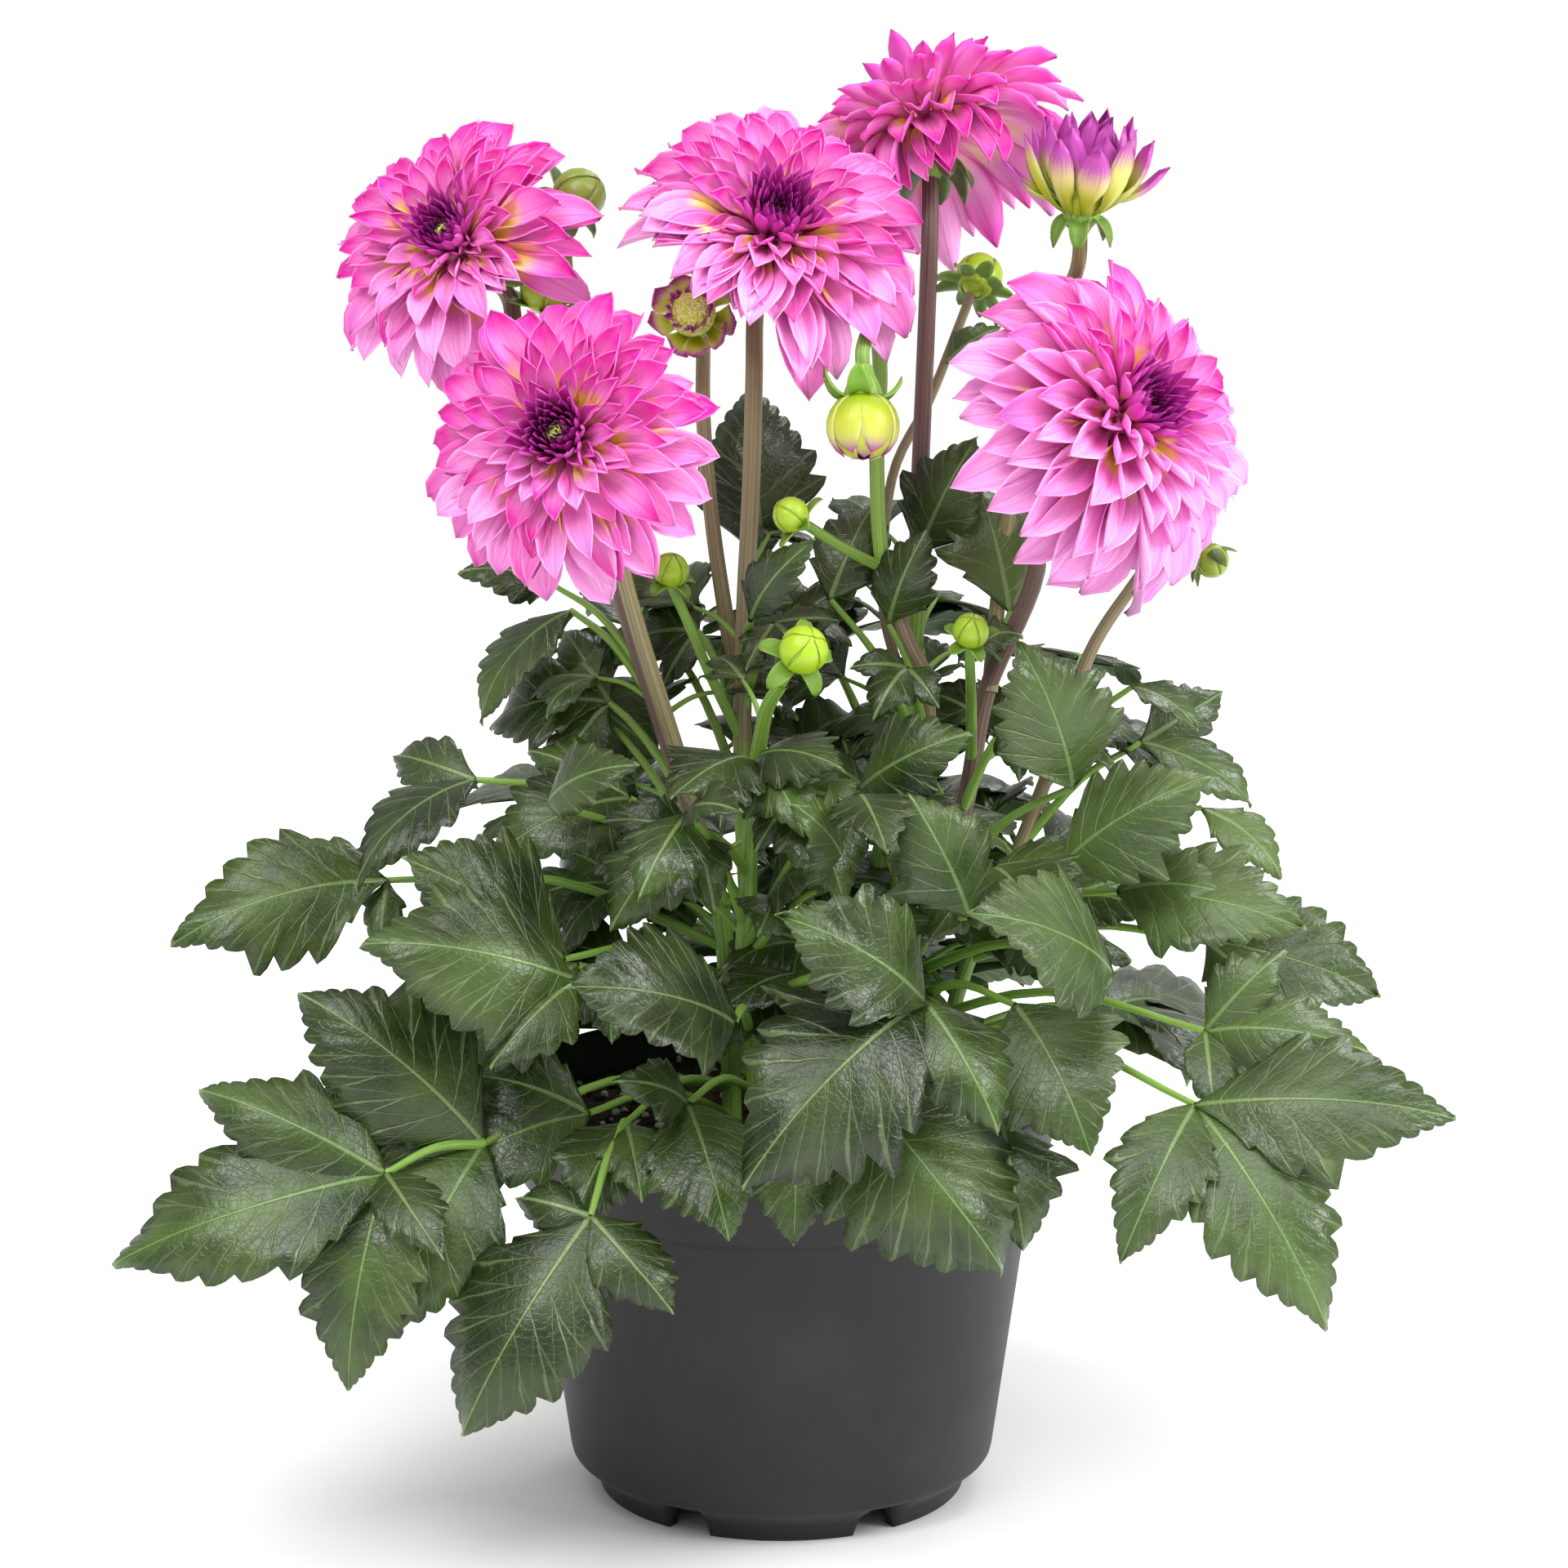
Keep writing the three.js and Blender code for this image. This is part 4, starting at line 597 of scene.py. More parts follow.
def petal_colours(shades, given):
    """Pink with pale and deep parts, a yellow throat, and dark purple at the heart of the head,
    where the petals are least ripe. Deep petals have deep tips and margins, pale ones a deep base."""
    across, along = shades.blade_map()
    tone = shades.number("tone")
    ripe = shades.number("ripe")
    reach = shades.maths("ABSOLUTE", across)
    marks = use(shades, BLADE_MARKS, Count=6.0, Shift=shades.times(tone, 40.0))
    streaks = marks["Streaks"]
    pale = shades.blend(shades.span(streaks, 0.4, 0.75), given["Light"], rgb(255, 196, 242))
    base = shades.span(along, 0.4, 0.85, 0.85, 0)
    edges = shades.maths("MAXIMUM", shades.span(along, 0.55, 1.0), shades.span(reach, 0.5, 1.0))
    place = shades.node("ShaderNodeMix", dict(data_type="FLOAT"))
    for name, value in ((0, shades.span(tone, 0.2, 0.6)), (2, base), (3, edges)):
        shades.feed(place, name, value)
    depth = shades.scaled(place.outputs[0], 0.75, shades.times(tone, 0.75))
    patches = shades.scaled(shades.mottle(60.0), 0.6, -0.42)
    depth = shades.maths("ADD", depth, patches, clamp=True)
    colour = shades.blend(depth, pale, given["Deep"])
    fold = shades.times(shades.span(reach, 0.0, 0.1, 0.35, 0), shades.span(along, 0.3, 0.9))
    colour = shades.blend(fold, colour, rgb(196, 24, 140))
    colour = shades.tint(colour, shades.span(marks["Rim"], 0.5, 1.0), 0.22, rgb(255, 196, 242))
    young = shades.blend(along, rgb(206, 26, 140), rgb(200, 60, 176))
    colour = shades.blend(shades.span(ripe, 0.34, 0.46, 0.8, 0), colour, young)
    own = shades.maths("FRACT", shades.times(tone, 7.3))
    limit = shades.scaled(own, 0.3, 0.38)
    yellow = shades.span(shades.maths("SUBTRACT", limit, along), 0.0, 0.22)
    yellow = shades.times(yellow, given["Throat"])
    yellow = shades.times(yellow, shades.span(ripe, 0.26, 0.4))
    yellow = shades.times(yellow, shades.span(own, 0.25, 0.6, 0.15, 1.0))
    gold = shades.blend(shades.span(along, 0.1, 0.3), rgb(248, 110, 150), rgb(255, 222, 110))
    colour = shades.blend(yellow, colour, gold)
    heart = shades.blend(shades.span(along, 0.3, 0.9), rgb(84, 6, 58), rgb(178, 40, 150))
    core = shades.span(ripe, 0.02, 0.12, 0.85, 0)
    heart = shades.blend(core, heart, rgb(64, 6, 44))
    return {"Colour": shades.blend(shades.span(ripe, 0.34, 0.22), colour, heart), "Streaks": streaks}


PETAL_EFFECT = effect(
    "petal_colours",
    {"Light": ("Color", rgb(250, 140, 220)), "Deep": ("Color", rgb(220, 40, 156)), "Throat": ("Float", 0.8)},
    {"Colour": "Color", "Streaks": "Float"}, petal_colours)


def petal_side(light, deep, throat, relief):
    """One side of a petal: its pale and deep pink, and how yellow its throat is."""
    def build(shades):
        made = use(shades, PETAL_EFFECT, Light=light, Deep=deep, Throat=throat)
        return {"Base Color": made["Colour"], "Normal": shades.bump(made["Streaks"], relief, 0.0006)}
    return build


def young_petal(shades):
    """Lime yellow at the base, turning to purple pink towards the tip and the margins."""
    along = shades.blade_map()[1]
    ripe = shades.number("ripe")
    marks = use(shades, BLADE_MARKS)
    streaks = marks["Streaks"]
    lime = shades.blend(streaks, rgb(164, 186, 12), rgb(208, 216, 60))
    lime = shades.blend(shades.span(along, 0.0, 0.6), rgb(136, 164, 22), lime)
    paling = shades.times(shades.span(along, 0.35, 0.7), shades.span(ripe, 0.15, 0.4, 0.1, 1))
    pale = shades.blend(paling, lime, rgb(224, 212, 140))
    pale = shades.tint(pale, marks["Rim"], 0.6, rgb(232, 226, 168))
    purple = shades.blend(streaks, rgb(150, 40, 138), rgb(208, 84, 186))
    turn = shades.maths("ADD", along, shades.scaled(streaks, 0.5, -0.25))
    turn = shades.maths("ADD", turn, shades.maths("SUBTRACT", ripe, 0.5))
    colour = shades.blend(shades.span(turn, 0.42, 0.7), pale, purple)
    return {"Base Color": colour, "Normal": shades.bump(streaks, 0.3, 0.0005)}


def scale_skin(young, old, rim, rim_share, relief, depth, **marked):
    """Green scales with ribs along them, from the two colours of young ones and of old ones."""
    def build(shades):
        ripe = shades.number("ripe")
        marks = use(shades, BLADE_MARKS, **marked)
        ribs = marks["Streaks"]
        colour = shades.blend(ripe, shades.blend(ribs, *young), shades.blend(ribs, *old))
        colour = shades.tint(colour, marks["Rim"], rim_share, rim)
        return {"Base Color": colour, "Normal": shades.bump(ribs, relief, depth)}
    return build


# The eye's florets run from lime-yellow at their edges to near-white at their centres, lifted paler than the
# eye's own colour: painted light, for the shade it sits in under the petals.
def eye_skin_and_painted_light(shades):
    spots = shades.node("ShaderNodeTexVoronoi", Scale=900.0)
    shades.feed(spots, "Vector", shades.place())
    far = spots.outputs["Distance"]
    colour = shades.blend(shades.span(far, 0.15, 0.75), rgb(255, 255, 190), rgb(214, 232, 70))
    return {"Base Color": colour, "Normal": shades.bump(far, 1.0, 0.0012)}


def soil_grain(shades):
    crumbs = shades.mottle(260.0, detail=8.0, rough=0.7)
    colour = shades.blend(shades.span(crumbs, 0.35, 0.65), rgb(34, 22, 16), rgb(92, 66, 46))
    return {"Base Color": colour, "Normal": shades.bump(crumbs, 1.0, 0.004)}


def pale_grain(shades):
    crumbs = shades.mottle(900.0)
    colour = shades.blend(crumbs, rgb(176, 170, 158), rgb(236, 232, 224))
    return {"Base Color": colour, "Normal": shades.bump(crumbs, 0.6, 0.0008)}


def pot_skin(shades):
    """Dark grey plastic with faint flow marks round it and a little dust."""
    place = shades.place()
    flow = shades.node("ShaderNodeMapping", Vector=place, Scale=(1, 1, 9)).outputs[0]
    bands = shades.mottle(14.0, flow, detail=4.0)
    specks = shades.mottle(1500.0, detail=2.0)
    dust = shades.times(shades.span(shades.mottle(22.0, detail=6.0), 0.45, 0.8), 0.25)
    colour = shades.blend(bands, rgb(29, 27, 28), rgb(36, 34, 35))
    colour = shades.blend(dust, colour, rgb(70, 66, 64))
    rough = shades.scaled(bands, 0.12, 0.46)
    height = shades.scaled(specks, 0.6, bands)
    return {"Base Color": colour, "Roughness": rough, "Normal": shades.bump(height, 0.14, 0.0006)}


LEAF = material("leaf_upper_side", leaf_upper, **{"Specular IOR Level": 0.52})
LEAF_BACK = material("leaf_under_side", leaf_under, Roughness=0.6)
STEM = material("stem_skin", stem_skin, Roughness=0.42)
PETAL_GLOW = {"Subsurface Weight": 0.16, "Subsurface Scale": 0.003, "Subsurface Radius": (1.0, 0.35, 0.7)}
PETAL_INSIDE = petal_side(rgb(252, 160, 228), rgb(224, 38, 164), 1.0, 0.35)
PETAL_OUTSIDE = petal_side(rgb(252, 178, 234), rgb(232, 76, 184), 0.5, 0.4)
PETAL = material("petal_inside", PETAL_INSIDE, Roughness=0.5, **PETAL_GLOW)
PETAL_BACK = material("petal_outside", PETAL_OUTSIDE, Roughness=0.55, **PETAL_GLOW)
YOUNG_PETAL = material("young_petal", young_petal, Roughness=0.3)
BRACT_SKIN = scale_skin((rgb(84, 142, 26), rgb(150, 196, 52)), (rgb(48, 66, 30), rgb(92, 108, 54)),
                        rgb(170, 190, 100), 0.35, 0.5, 0.0006)
BRACT = material("bract_skin", BRACT_SKIN, Roughness=0.36)
BUD_SKIN = scale_skin((rgb(138, 182, 20), rgb(186, 214, 50)), (rgb(92, 100, 34), rgb(140, 142, 70)),
                      rgb(104, 116, 40), 0.5, 0.25, 0.0005, **{"Count": 9.0, "Rim from": 0.86})
BUD = material("bud_skin", BUD_SKIN, Roughness=0.24)
EYE = material("flower_eye", eye_skin_and_painted_light, Roughness=0.5)
SOIL = material("soil_grain", soil_grain, Roughness=0.95)
PERLITE = material("perlite_grain", pale_grain, Roughness=0.85)
POT = material("pot_plastic", pot_skin, **{"Specular IOR Level": 0.35})


# Leaves

class Blade:
    """The directions of a leaflet or petal: ahead to its tip, right, and up out of its upper side."""

    def __init__(self, root, tip, face):
        self.root = root
        self.length = (tip - root).length
        self.ahead = (tip - root).normalized()
        self.right = self.ahead.cross(face).normalized()
        self.up = self.right.cross(self.ahead)

    def at(self, along, across, lift):
        return self.root + self.ahead * along + self.right * across + self.up * lift


LEAF_COLUMNS = (0, 0.26, 0.52, 0.78, 1)
LEAF_WIDEST = 0.44
TOOTH_ROWS = (0, 0.3, 0.62, VEIN_SHARE)
TOOTH_REACH = (0, 0.55, 0.9, 1)
QUILTING = (0.4, 1, 0.8, 0)
QUILT_DEPTH = 0.014
ROWS_PER_TOOTH = len(TOOTH_ROWS)
TOOTH_DEPTH = 0.22
VEIN_SLANT = 0.27
LONG_LEAFLET = 48
SHORT_LEAFLET = 34


def leaf_outline(share, taper):
    """Half the width of a leaflet at a share of its length, as a share of its greatest: a foot that
    is slimmer the greater its taper, and a point at the tip."""
    if share < LEAF_WIDEST:
        return 0.05 + 0.95 * math.sin(0.5 * math.pi * (share / LEAF_WIDEST) ** taper)
    beyond = (share - LEAF_WIDEST) / (1 - LEAF_WIDEST)
    return (1 - beyond ** 1.8) * (1 - 0.1 * beyond)


def leaflet(piece, root, tip, face, width, rng, ripe=1.0, arch=0.13):
    """A pointed leaflet with forward teeth, whose side veins run out to them, sunk between raised
    fields, and with a waved rim."""
    blade = Blade(root, tip, face)
    teeth = 9 if blade.length > LONG_LEAFLET else 7 if blade.length > SHORT_LEAFLET else 5
    half_width = 0.5 * width * blade.length
    rows = ROWS_PER_TOOTH * teeth
    columns = len(LEAF_COLUMNS) - 1
    tooth_sizes = {side: [rng.uniform(0.45, 1.3) for _ in range(teeth + 1)] for side in (-1, 1)}
    for sizes in tooth_sizes.values():
        sizes[rng.choice((1, 2, 3))] *= rng.uniform(1.2, 2.0)
    wave = rng.uniform(0, TAU)
    curl = rng.uniform(-0.1, 0.22)
    bend = rng.uniform(-0.08, 0.08)
    fold = rng.uniform(-0.15, 0.3)
    twist = rng.uniform(-0.3, 0.3)
    ruffle = rng.uniform(0.05, 0.13)
    droop = rng.uniform(0.05, 0.4)
    taper = rng.uniform(0.85, 1.3)

    def spot(across, along):
        tooth, step = divmod(round(along * rows), ROWS_PER_TOOTH)
        row = (tooth + TOOTH_ROWS[step]) / teeth
        reach = LEAF_COLUMNS[round(abs(across) * columns)]
        side = -1 if across < 0 else 1
        rim = row + VEIN_SLANT * math.sin(math.pi * row ** 0.8)
        outline = 0.92 * leaf_outline(rim, taper) * half_width
        toothed = tooth_sizes[side][tooth] * TOOTH_REACH[step] * smooth_step(0.14, 0.32, rim)
        saw = TOOTH_DEPTH * half_width * toothed * reach ** 3 * min(1.0, 3 * (1 - rim))
        return side, reach, row, rim, step, side * (reach * outline + saw)

    def place(across, along):
        side, reach, row, rim, step, across_mm = spot(across, along)
        share = mix(row, rim, reach ** 1.35)
        from_rib = abs(across_mm)
        lift = arch * 4 * share * (1 - share) * blade.length
        lift += (twist * side * share - fold) * from_rib
        lift += QUILT_DEPTH * half_width * QUILTING[step] * math.sin(math.pi * reach) * (row < 0.95)
        lift += ruffle * half_width * reach ** 2 * math.sin(wave + 9 * row + 2 * side)
        lift -= curl * half_width * reach ** 3
        lift -= droop * blade.length * max(0.0, share - 0.7) ** 1.5
        sideways = bend * blade.length * share * share
        return blade.at(share * blade.length, across_mm + sideways, lift)

    def mapped(across, along):
        _, _, row, _, _, across_mm = spot(across, along)
        return across_mm, row * teeth

    piece.sheet(2 * columns, rows, place, rng.random(), ripe, 0, mapped)


def stalk(stems, start, knot, rng, thick):
    """A leaf stalk that leaves its stem upwards and comes level at the knot."""
    middle = start.lerp(knot, 0.5) + UP * (0.1 * (knot - start).length)
    path = smooth_path([start, middle, knot], 5)
    stems.tube(path, lambda t: thick * mix(STALK_SWELLING, 0.75, t), STALK_SIDES, STALK_RIPENESS,
               rng.random())


def compound_leaf(leaves, stems, start, knot, tips, width, face, rng, ripe=1.0, thick=STALK_RADIUS):
    """A stalk with its leaflets, whose tips are given."""
    longest = max((tip - knot).length for tip in tips)
    stalk(stems, start, knot, rng, thick * mix(0.7, 1.0, min(1.0, longest / LARGE_LEAFLET)))
    for i, tip in enumerate(tips):
        leaflet(leaves, knot, tip, face, width * (1.05 if i == 0 else 1.0), rng, ripe)


def at_height(path, height):
    """The first point of a path at or above a height."""
    return next((p for p in path if p.z >= height), path[-1])


def placed_leaf(leaves, stems, rng, path, ripe, start, knot, tips, width=LEAF_WIDTH, face=FRONT):
    """A leaf whose stalk leaves the path at a height, or starts at a point."""
    start = at_height(path, start) if isinstance(start, int) else Vector(start)
    tips = [Vector(tip) for tip in tips]
    compound_leaf(leaves, stems, start, Vector(knot), tips, width, Vector(face), rng, ripe)


def arched_leaf(leaves, stems, rng, path, face, height, via, tip):
    """A leaf of three leaflets that rises over a point and comes down to its tip."""
    root = at_height(path, height)
    tip = Vector(tip)
    arch = arch_path(root, Vector(via), tip)
    knot = arch[5]
    stems.tube(arch[:6], lambda t: STALK_RADIUS * mix(STALK_SWELLING, 0.8, t), STALK_SIDES,
               STALK_RIPENESS, rng.random())
    blade = Blade(knot, tip, face)
    spread = 0.36 * (tip - root).length
    leaflet(leaves, knot, tip, face, 0.68, rng, arch=0.2)
    for side in (-1, 1):
        end = blade.at(0.42 * blade.length, side * spread, 0.06 * blade.length)
        leaflet(leaves, knot, end, face, 0.58, rng)


def back_leaves(leaves, stems, rng, path, crown, bearings):
    """Leaves that lean out round the crown, at bearings in degrees from +X, in tiers."""
    base = Vector((*crown, 0))
    for (height, rise, middle, reach, tip_height), angles in zip(BACK_TIERS, bearings):
        for bearing in angles:
            out = level_at(math.radians(bearing))
            drop = rng.uniform(-9, 9)
            via = base + out * middle + UP * (rise + drop)
            tip = base + out * reach + UP * (tip_height + drop)
            arched_leaf(leaves, stems, rng, path, out * 0.6 + UP * 0.8, height + drop, via, tip)


def filling_leaves(leaves, stems, rng, path, lowest, highest, count, reach):
    """Leaves in turn round a stem, which fill the bush between the listed ones."""
    turn = rng.uniform(0, TAU)
    for i in range(count):
        share = (i + rng.random()) / count
        start = at_height(path, mix(lowest, highest, share))
        turn += GOLDEN_ANGLE
        out = level_at(turn)
        if out.y < (CLEAR_FRONT if start.z < CLEAR_ABOVE else CLEAR_UPPER_FRONT):
            continue
        own_reach = reach * mix(1.0, 0.6, share) * rng.uniform(0.8, 1.1)
        knot = start + out * (0.42 * own_reach) + UP * rng.uniform(6, 18)
        tip = start + out * own_reach + UP * rng.uniform(-4, 26)
        face = (out * 0.5 + UP * 0.8 + Vector((0, -0.35, 0))).normalized()
        blade = Blade(knot, tip, face)
        tips = [tip]
        for side in (-1, 1):
            tips.append(blade.at(0.5 * blade.length, side * 0.62 * blade.length, rng.uniform(-4, 2)))
        compound_leaf(leaves, stems, start, knot, tips, 0.66, face, rng, thick=FILLING_STALK_RADIUS)


# Flower heads

PETAL_WIDEST = 0.62


def head_of(facts):
    """Where a head stands, the way it looks and its radius."""
    return Vector(facts["centre"]), Vector(facts["axis"]).normalized(), facts["radius"]


def petal_outline(share):
    """Half the width of a petal at a share of its length, as a share of its greatest."""
    if share < PETAL_WIDEST:
        return 0.3 + 0.7 * smooth_step(0, PETAL_WIDEST, share)
    beyond = (share - PETAL_WIDEST) / (1 - PETAL_WIDEST)
    return (1 - beyond ** 2.4) ** 0.74


def petal(piece, head, bearing, root, via, tip, half_width, roll, tone, ripe, rng, columns=6, rows=9,
          loose=1.0):
    """A cupped petal that stands out from a head's axis. Its root, via and tip are given as an
    angle from the axis and a reach from the head's centre."""
    centre, axis = head
    outward = outward_at(axis, bearing)
    points = []
    for angle, reach in (root, via, tip):
        points.append(centre + axis * (math.cos(angle) * reach) + outward * (math.sin(angle) * reach))
    line = arch_path(*points, steps=rows)
    right = outward.cross(axis)
    wave = rng.uniform(0, TAU)
    lean = loose * rng.uniform(-0.18, 0.18)
    pinch = rng.uniform(0.85, 1.25)
    twist = loose * rng.uniform(-0.45, 0.45)

    def place(across, along):
        i = round(along * rows)
        tangent = (line[min(rows, i + 1)] - line[max(0, i - 1)]).normalized()
        up = right.cross(tangent).normalized()
        half = half_width * petal_outline(along)
        open_share = smooth_step(0.0, 0.6, along)
        turn = roll * pinch * (mix(2.0, 0.92, open_share) + 0.4 * smooth_step(0.7, 1.0, along))
        turn = min(2.4, max(0.15, turn))
        bow = half / turn
        sideways = bow * math.sin(turn * across)
        lift = bow * (1 - math.cos(turn * across))
        lift += 0.1 * half_width * math.sin(wave + 6 * along) * across + twist * along * sideways
        lift += 0.05 * half_width * math.cos(3 * math.pi * across) * math.sin(math.pi * along)
        sideways += 2 * lean * half_width * along * along
        return line[i] + right * sideways + up * lift
    piece.sheet(columns, rows, place, tone, ripe)


HEART_COUNT = 62
PETAL_COUNT = 116
HANGING_GROWTH = 0.12
CROWDED_FROM = 0.72
CROWDED_ANGLE = 1.28
DRAPED_ANGLE = 2.5
SCALE_SPREAD = 0.62
BUD_SCALES = 5
HALF_OPEN_RINGS = (
    dict(count=9, root=(2.45, 0.3), via=(1.5, 0.72), tip=(0.8, 1.02), width=0.235, ripe=0.33),
    dict(count=8, root=(2.0, 0.2), via=(1.35, 0.66), tip=(0.52, 1.0), width=0.22, ripe=0.44),
    dict(count=8, root=(1.2, 0.18), via=(0.9, 0.5), tip=(0.3, 0.94), width=0.18, ripe=0.58),
)
BENT_PETALS = ((0.48 * math.pi, 1.22), (-0.46 * math.pi, 1.2), (2.6, 1.1))
OPENING_PETALS = 26
OPENING_SCALES = 9
NODDING_SCALES = 6


def bloom_head(name, centre, axis, radius, turn, outer=1.85, deep=0.4, loose=1.0, least=0.56,
               broad=1.0, lean=(0, 0, 0), crowded=None, tucked=1.0, draped=None, eye=False):
    """A head of petals in a spiral: closed dark ones at the heart, then cupped ones that open out,
    to the long bent-back ones of the rim. A crowded side is held up and kept short by what stands
    there, and a draped side hangs down over the calyx."""
    piece = Piece(name + "_petals", [PETAL, PETAL_BACK, EYE, EYE])
    axis = (Vector(axis) + Vector(lean)).normalized()
    head = (Vector(centre), axis)
    rng = random.Random(round(turn * 1000))
    round_body(piece, head[0], axis, 0.2 * radius, 1, 0, mapped=lambda across, along: (0.5, 0.1))
    if eye:
        round_body(piece, head[0] + axis * (0.26 * radius), axis, 0.075 * radius, 0, 2)
    for i in range(HEART_COUNT):
        t = (i + 0.5) / HEART_COUNT
        angle = mix(0.04, 0.52, t ** 0.65)
        length = radius * mix(0.34, 0.56, t ** 0.8) * rng.uniform(0.94, 1.06)
        petal(piece, head, i * GOLDEN_ANGLE, (angle * 1.3, 0.14 * radius),
              (angle * mix(1.9, 1.35, t), 0.7 * length), (angle * mix(0.75, 1.0, t), length),
              radius * mix(0.025, 0.062, t), 1.2, rng.random(), mix(0.0, 0.36, t), rng, 4, 6)
    for i in range(PETAL_COUNT):
        t = (i + 0.5) / PETAL_COUNT
        angle = mix(0.6, outer, t ** 0.8) + loose * rng.uniform(-0.09, 0.09)
        bearing = turn + i * GOLDEN_ANGLE + loose * rng.uniform(-0.1, 0.1)
        outward = outward_at(axis, bearing)
        size = 1 + HANGING_GROWTH * t * max(0.0, -outward.z) + loose * rng.uniform(-0.1, 0.05)
        if crowded and outward.dot(Vector(crowded)) > CROWDED_FROM:
            angle = min(angle, CROWDED_ANGLE)
            size *= tucked
        elif rng.random() < 0.07 * loose:
            size *= 1.1
        if draped:
            over = max(0.0, outward.dot(Vector(draped)))
            angle = min(DRAPED_ANGLE, angle + 0.6 * over * t ** 0.6)
            size *= 1 - 0.42 * over * t
        length = radius * mix(least, 1, min(1.0, 1.4 * t) ** 0.85) * size
        half_width = broad * length * mix(0.145, 0.168, min(1.0, t * 1.6)) * rng.uniform(0.92, 1.1)
        tone = mix(deep, rng.random(), 0.4) + 0.2 * outward.z + 0.25 * (0.4 - t)
        petal(piece, head, bearing, (min(angle * 0.9, 1.68), 0.2 * radius),
              (angle * mix(1.1, 0.72, t ** 0.6), 0.66 * length), (angle, length), half_width,
              mix(1.5, 1.15, t), min(1.0, max(0.0, tone)), mix(0.36, 1.0, t), rng, loose=loose)
    piece.finish("petals", [name], PETAL_THICK)


def bract(piece, head, bearing, reach, rise, drop, half_width, ripe, rng, start=0.4):
    """A green scale under a head: it leaves the stem, spreads and curls down or up."""
    centre, axis = head
    outward = outward_at(axis, bearing)
    right = outward.cross(axis)
    line = arch_path(centre + outward * (start * reach), centre + outward * (0.8 * reach) + axis * rise,
                     centre + outward * reach + axis * drop, 6)

    def place(across, along):
        i = round(along * 6)
        half = half_width * math.sin(math.pi * mix(0.2, 1.0, along)) ** 0.6
        tangent = (line[min(6, i + 1)] - line[max(0, i - 1)]).normalized()
        up = right.cross(tangent).normalized()
        return line[i] + right * (half * across) + up * (0.35 * half * across * across)
    piece.sheet(4, 6, place, rng.random(), ripe, 2)


def calyx(leaves, stems, rng, head, bracts=5, ripe=0.5, spread=0.3, drop=0.2):
    """The green cup under a head, with its bent-down bracts."""
    centre, axis, radius = head_of(head)
    place = centre - axis * (CORE_HEIGHT * radius)
    foot = place - axis * head.get("neck", CALYX_HEIGHT)
    profile = (1.0, 1.25, 1.75, 2.1, 2.0)
    path = [foot.lerp(place, i / 4) for i in range(5)]
    neck = FLOWER_STEM_RADIUS + 0.5
    stems.tube(path, lambda t: neck * profile[round(t * 4)], 16, 0.1 if ripe < 0.2 else 0.25)
    for i in range(bracts):
        bearing = TAU * i / bracts + rng.uniform(-0.2, 0.2)
        bract(leaves, (place - axis * 2, axis), bearing, spread * radius * rng.uniform(0.85, 1.1), -1,
              -drop * radius * rng.uniform(0.8, 1.2), 0.3 * spread * radius, ripe, rng)


def ripening(spans):
    """How brown a stem is at a place. Each span of height has the ripeness below and above it."""
    return lambda place: math.prod(mix(least, most, smooth_step(low, high, place.z))
                                   for low, high, least, most in spans)


def flower_stem(stems, points, ripe, tone, head=None, radius=STEM_RADIUS, reach=20, taper=(1.12, 0.95),
                sides=14):
    """A stem through its points. One with a head ends in the calyx along the head's axis."""
    ends = []
    if head:
        centre, axis, size = head_of(head)
        cup = CORE_HEIGHT * size + head.get("neck", CALYX_HEIGHT)
        ends = [centre - axis * (cup + reach), centre - axis * (cup - 2)]
    path = smooth_path([*points, *ends], 7)
    brown = ripening(ripe) if isinstance(ripe, list) else ripe
    stems.tube(path, lambda t: radius * mix(*taper, t), sides, brown, tone)
    return path


def closed_bud(leaves, stems, rng, centre, axis, radius, ripe, points, stem=None, sepals=5, droop=0.5,
               slim=0.42):
    """A round green bud wrapped in scales above spread sepals, on the end of a thin stem."""
    centre = Vector(centre)
    axis = Vector(axis).normalized()
    foot = centre - axis * (0.7 * radius)
    stems.tube(smooth_path([*points, foot], 6), lambda t: BUD_STEM_RADIUS * mix(1.1, 0.95, t), 10,
               stem or mix(0.1, 0.6, ripe), 0.3)
    round_body(leaves, centre, axis, radius, ripe, 4)
    for layer, lean in ((0, 0.96), (1, 1.02)):
        for i in range(BUD_SCALES):
            bearing = TAU * (i + 0.5 * layer) / BUD_SCALES
            hugging_scale(leaves, centre, axis, radius * lean, bearing, ripe, rng, 4)
    for i in range(sepals):
        bract(leaves, (centre - axis * (0.8 * radius), axis), TAU * i / sepals + rng.uniform(-0.2, 0.2),
              rng.uniform(1.6, 2.0) * radius, 0.3 * radius, rng.uniform(-droop, 0.4) * radius,
              slim * radius, min(1.0, ripe + 0.35), rng, start=0.15)


def beside(centre, axis, rise, ring, angle):
    """A point that lies so far up an axis and so far out from it, at an angle round it."""
    east, north = square_to(axis)
    return centre + axis * rise + east * (ring * math.cos(angle)) + north * (ring * math.sin(angle))


def round_body(piece, centre, axis, radius, ripe, material, high=0.95, mapped=None):
    """The round body of a bud or the base of a head."""
    def place(across, along):
        polar = math.pi * (1 - along)
        rise = high * radius * math.cos(polar)
        return beside(centre, axis, rise, radius * math.sin(polar), -math.pi * across)
    piece.sheet(16, 10, place, 0.5, ripe, material, mapped)


